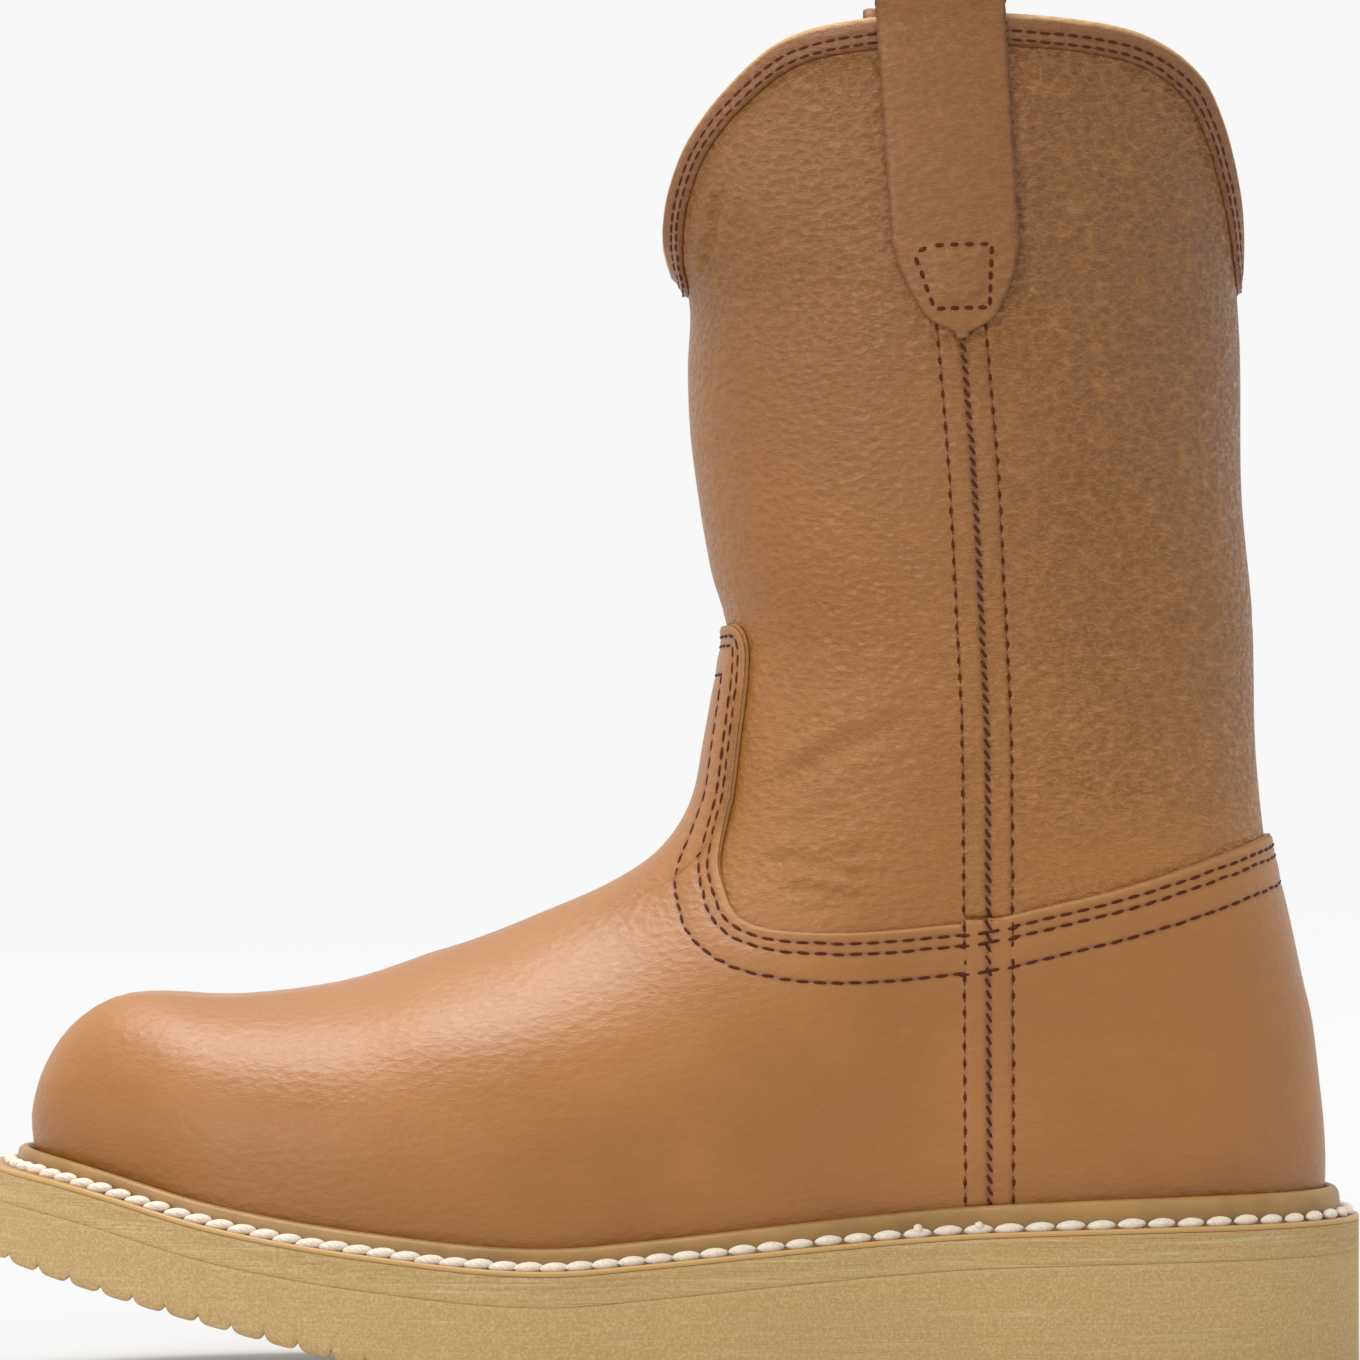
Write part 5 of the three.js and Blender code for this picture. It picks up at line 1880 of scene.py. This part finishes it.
@dataclass(frozen=True)
class Studio:
    """Pale floor, soft lights and the camera."""

    camera_x: float = 1.6
    camera_y: float = -1550.0
    camera_z: float = 158.9
    focal_length: float = 179.95
    sensor: float = 36.0
    surround: float = 0.939
    key_spot: tuple = (-1.2, -1.4, 0.6)
    key_power: float = 9.0
    top_spot: tuple = (-0.4, 0.15, 2.3)
    top_power: float = 52.0
    target: tuple = (0.0, 0.0, 0.14)
    key_size: float = 1.0
    top_size: float = 1.45
    floor_grey: float = 0.45
    # Extra floor glow near the top light's foot: painted light that lifts the boot's shadow on the
    # floor.
    shade: float = 0.05

    def below_light(self) -> tuple[float, float, float]:
        """The floor's place under the top light, in millimetres."""
        return self.top_spot[0] / MM, self.top_spot[1] / MM, 0.0

    def glow_stops(self, reach: float) -> list[tuple[float, tuple[float, float, float]]]:
        """Glow that levels the floor to the surround, plus painted light near the top light's foot
        that lifts the boot's shadow on the floor, by the distance from the top light's foot.

        Args:
            reach: Distance of the last stop, in metres.

        Returns:
            Places and colours of a ramp.
        """
        stops = []
        height = self.top_spot[2]
        for share in (0, 0.04, 0.08, 0.13, 0.18, 0.24, 0.32, 0.42, 0.55, 0.7, 1):
            away = share * reach
            fall = (height ** 2 / (height ** 2 + away ** 2)) ** 2
            lit = self.top_power * fall / (math.pi * height) ** 2
            bounced = self.floor_grey * (self.surround + lit)
            # The shade term is painted light that brightens the floor where the boot shades it.
            glow = max(self.surround + self.shade * fall - bounced, 0.0)
            stops.append((share, (glow, glow, glow)))
        return stops

    def floor(self) -> None:
        """A plain pale floor."""
        reach = 9.0
        mesh = bpy.data.meshes.new("floor")
        corners = [(-reach, -reach, 0), (reach, -reach, 0), (reach, reach, 0), (-reach, reach, 0)]
        mesh.from_pydata(corners, [], [(0, 1, 2, 3)])
        floor = bpy.data.objects.new("floor", mesh)
        bpy.context.scene.collection.objects.link(floor)
        book = NodeBook("studio floor")
        spot = book.node(
            "ShaderNodeVectorMath", {"operation": "SUBTRACT"},
            {0: book.place(), 1: self.below_light()},
        )
        length = book.node("ShaderNodeVectorMath", {"operation": "LENGTH"}, {0: spot}, "Value")
        away = length / (reach / MM)
        glow = book.node("ShaderNodeValToRGB", {"stops": self.glow_stops(reach)}, {0: away})
        grey = (self.floor_grey, self.floor_grey, self.floor_grey, 1.0)
        mesh.materials.append(book.close({
            "Base Color": grey, "Roughness": 0.9, "Specular IOR Level": 0.0,
            "Emission Color": glow, "Emission Strength": 1.0,
        }))

    def light(self, name: str, spot: Sequence[float], size: float, energy: float) -> None:
        """A square soft light.

        Args:
            name: Name of the light.
            spot: Where it hangs, in metres.
            size: Length of its sides.
            energy: Its power.
        """
        lamp = bpy.data.lights.new(name, "AREA")
        lamp.size = size
        lamp.energy = energy
        holder = bpy.data.objects.new(name, lamp)
        holder.location = spot
        aim = Vector(self.target) - Vector(spot)
        holder.rotation_euler = aim.to_track_quat("-Z", "Y").to_euler()
        bpy.context.scene.collection.objects.link(holder)

    def world(self) -> None:
        """An even pale surround."""
        world = bpy.data.worlds.new("surround")
        world.use_nodes = True
        sky = world.node_tree.nodes["Background"]
        sky.inputs["Color"].default_value = (self.surround, self.surround, self.surround, 1.0)
        sky.inputs["Strength"].default_value = 1.0
        bpy.context.scene.world = world

    def camera(self) -> None:
        """A long lens level with the middle of the boot, on its outer side."""
        data = bpy.data.cameras.new("camera")
        data.lens = self.focal_length
        data.sensor_width = self.sensor
        camera = bpy.data.objects.new("camera", data)
        camera.location = (self.camera_x * MM, self.camera_y * MM, self.camera_z * MM)
        camera.rotation_euler = (math.pi / 2, 0, 0)
        bpy.context.scene.collection.objects.link(camera)
        bpy.context.scene.camera = camera

    def build(self) -> None:
        """Set up the studio."""
        self.floor()
        self.world()
        self.light("key", self.key_spot, self.key_size, self.key_power)
        self.light("top", self.top_spot, self.top_size, self.top_power)
        self.camera()
        bpy.context.scene.view_settings.view_transform = "Standard"


def smooth_line(rows: Rows, form: BootForm, count: int = 160) -> Array:
    """A drawn edge as a close line of places in the side view.

    Args:
        rows: Shares of the last's length, and levels.
        form: The boot's form.
        count: Points on the line.

    Returns:
        Places in the side view.
    """
    points = np.array([(form.length_x(along), float(form.level_z(at))) for along, at in rows])
    run = np.concatenate([[0], np.cumsum(np.linalg.norm(np.diff(points, axis=0), axis=1))])
    at = np.linspace(0, run[-1], count)
    columns = [Curve(list(zip(run, points[:, k])))(at) for k in range(2)]
    return np.column_stack(columns)


def build_upper(draw: Draw) -> None:
    """Build every leather piece and its stitches.

    Args:
        draw: Random source of small unevenness.
    """
    creases = Creases()
    pebbled = LeatherFinish("shaft leather", Grain.PEBBLED).make()
    smooth = LeatherFinish("vamp leather", Grain.SMOOTH).make()
    strap = LeatherFinish("strap leather", Grain.FLAT, rim=paint(104, 60, 26)).make()
    bound = LeatherFinish(
        "binding leather", Grain.FLAT, tan=paint(142, 86, 38), deep=paint(128, 74, 30),
        pale=paint(156, 100, 48), rim=paint(196, 158, 106),
    ).make()
    brown = Seamstress("brown_thread")
    fine = Seamstress("fine_thread")

    wall = UpperWall(FORM, creases)
    wall.build(pebbled)
    vamp_line, counter_line = smooth_line(VAMP_LINE, FORM), smooth_line(COUNTER_LINE, FORM)
    vamp = Overlay("vamp_leather", "vamp", FORM, creases, vamp_line, True)
    counter = Overlay("counter_leather", "counter", FORM, creases, counter_line, False, columns=70)
    for layer in (vamp, counter):
        layer.build(smooth)
        layer.rows_of_stitches(brown, draw)
    CollarBinding(FORM, wall).build(bound, brown, draw)

    welt_clearance, tip_overlap, join_gap = 5.2, 3.0, 0.2
    join_z = float(vamp_line[-1, 1])
    ridge_z = float(FORM.sole_top(FORM.seam_x(FORM.heel_stack))) + welt_clearance
    tip_z = FORM.collar_top - PullStrap.drop + tip_overlap
    for word, side in (("outer", OUTER), ("inner", INNER)):
        seam = SideSeam(FORM, creases, side)
        top = seam.strip(
            f"seam_leather_{word}_shaft", f"side_seam_{word}_shaft",
            join_z + 3 * join_gap, tip_z, 0.0, pebbled,
        )
        low = seam.strip(
            f"seam_leather_{word}_foot", f"side_seam_{word}_foot",
            ridge_z, join_z + join_gap, FORM.face, smooth,
        )
        for face, normals in (top, low):
            seam.sew(face, normals, brown, fine, draw)
        seam.cross_rows(low[0], join_z, brown, draw)
        PullStrap(FORM, side).build(strap, brown, draw)
    strong_thread = ThreadFinish("brown thread", paint(108, 52, 24), paint(66, 28, 10))
    fine_thread = ThreadFinish("fine thread", paint(128, 74, 34), paint(92, 48, 20))
    brown.finish(strong_thread.make(), "leather")
    fine.finish(fine_thread.make(), "leather")


def build_bottom(draw: Draw) -> None:
    """Build the welt, the insole's finish and the sole.

    Args:
        draw: Random source of small unevenness.
    """
    welt = StormWelt(FORM)
    welt.build(WeltFinish().make())
    white = Seamstress("welt_thread")
    welt.sew(white, draw)
    white_thread = ThreadFinish("white thread", paint(240, 232, 220), paint(206, 192, 172))
    white.finish(white_thread.make(), "welt_leather")
    sole = WedgeSole(FORM)
    foam = SoleFinish("midsole foam", streaks=1.5).make()
    rubber = SoleFinish("sole rubber", streaks=0.6).make()
    sole.build("midsole_wedge", "midsole", "midsole_foam", sole.flange, sole.seam_depth, foam)
    sole.build("outsole_wedge", "outsole", "sole_rubber", sole.seam_depth, None, rubber)
    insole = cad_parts["insole"]
    insole.data.materials.clear()
    bare = LeatherFinish("insole leather", Grain.SMOOTH, roughness=0.7)
    insole.data.materials.append(bare.make())


def main() -> None:
    """Build the boot and its studio."""
    logging.basicConfig(level=logging.INFO, format="%(name)s %(message)s")
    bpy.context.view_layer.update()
    draw = np.random.default_rng(11)
    build_upper(draw)
    build_bottom(draw)
    Studio().build()


if __name__ == "__main__":
    main()
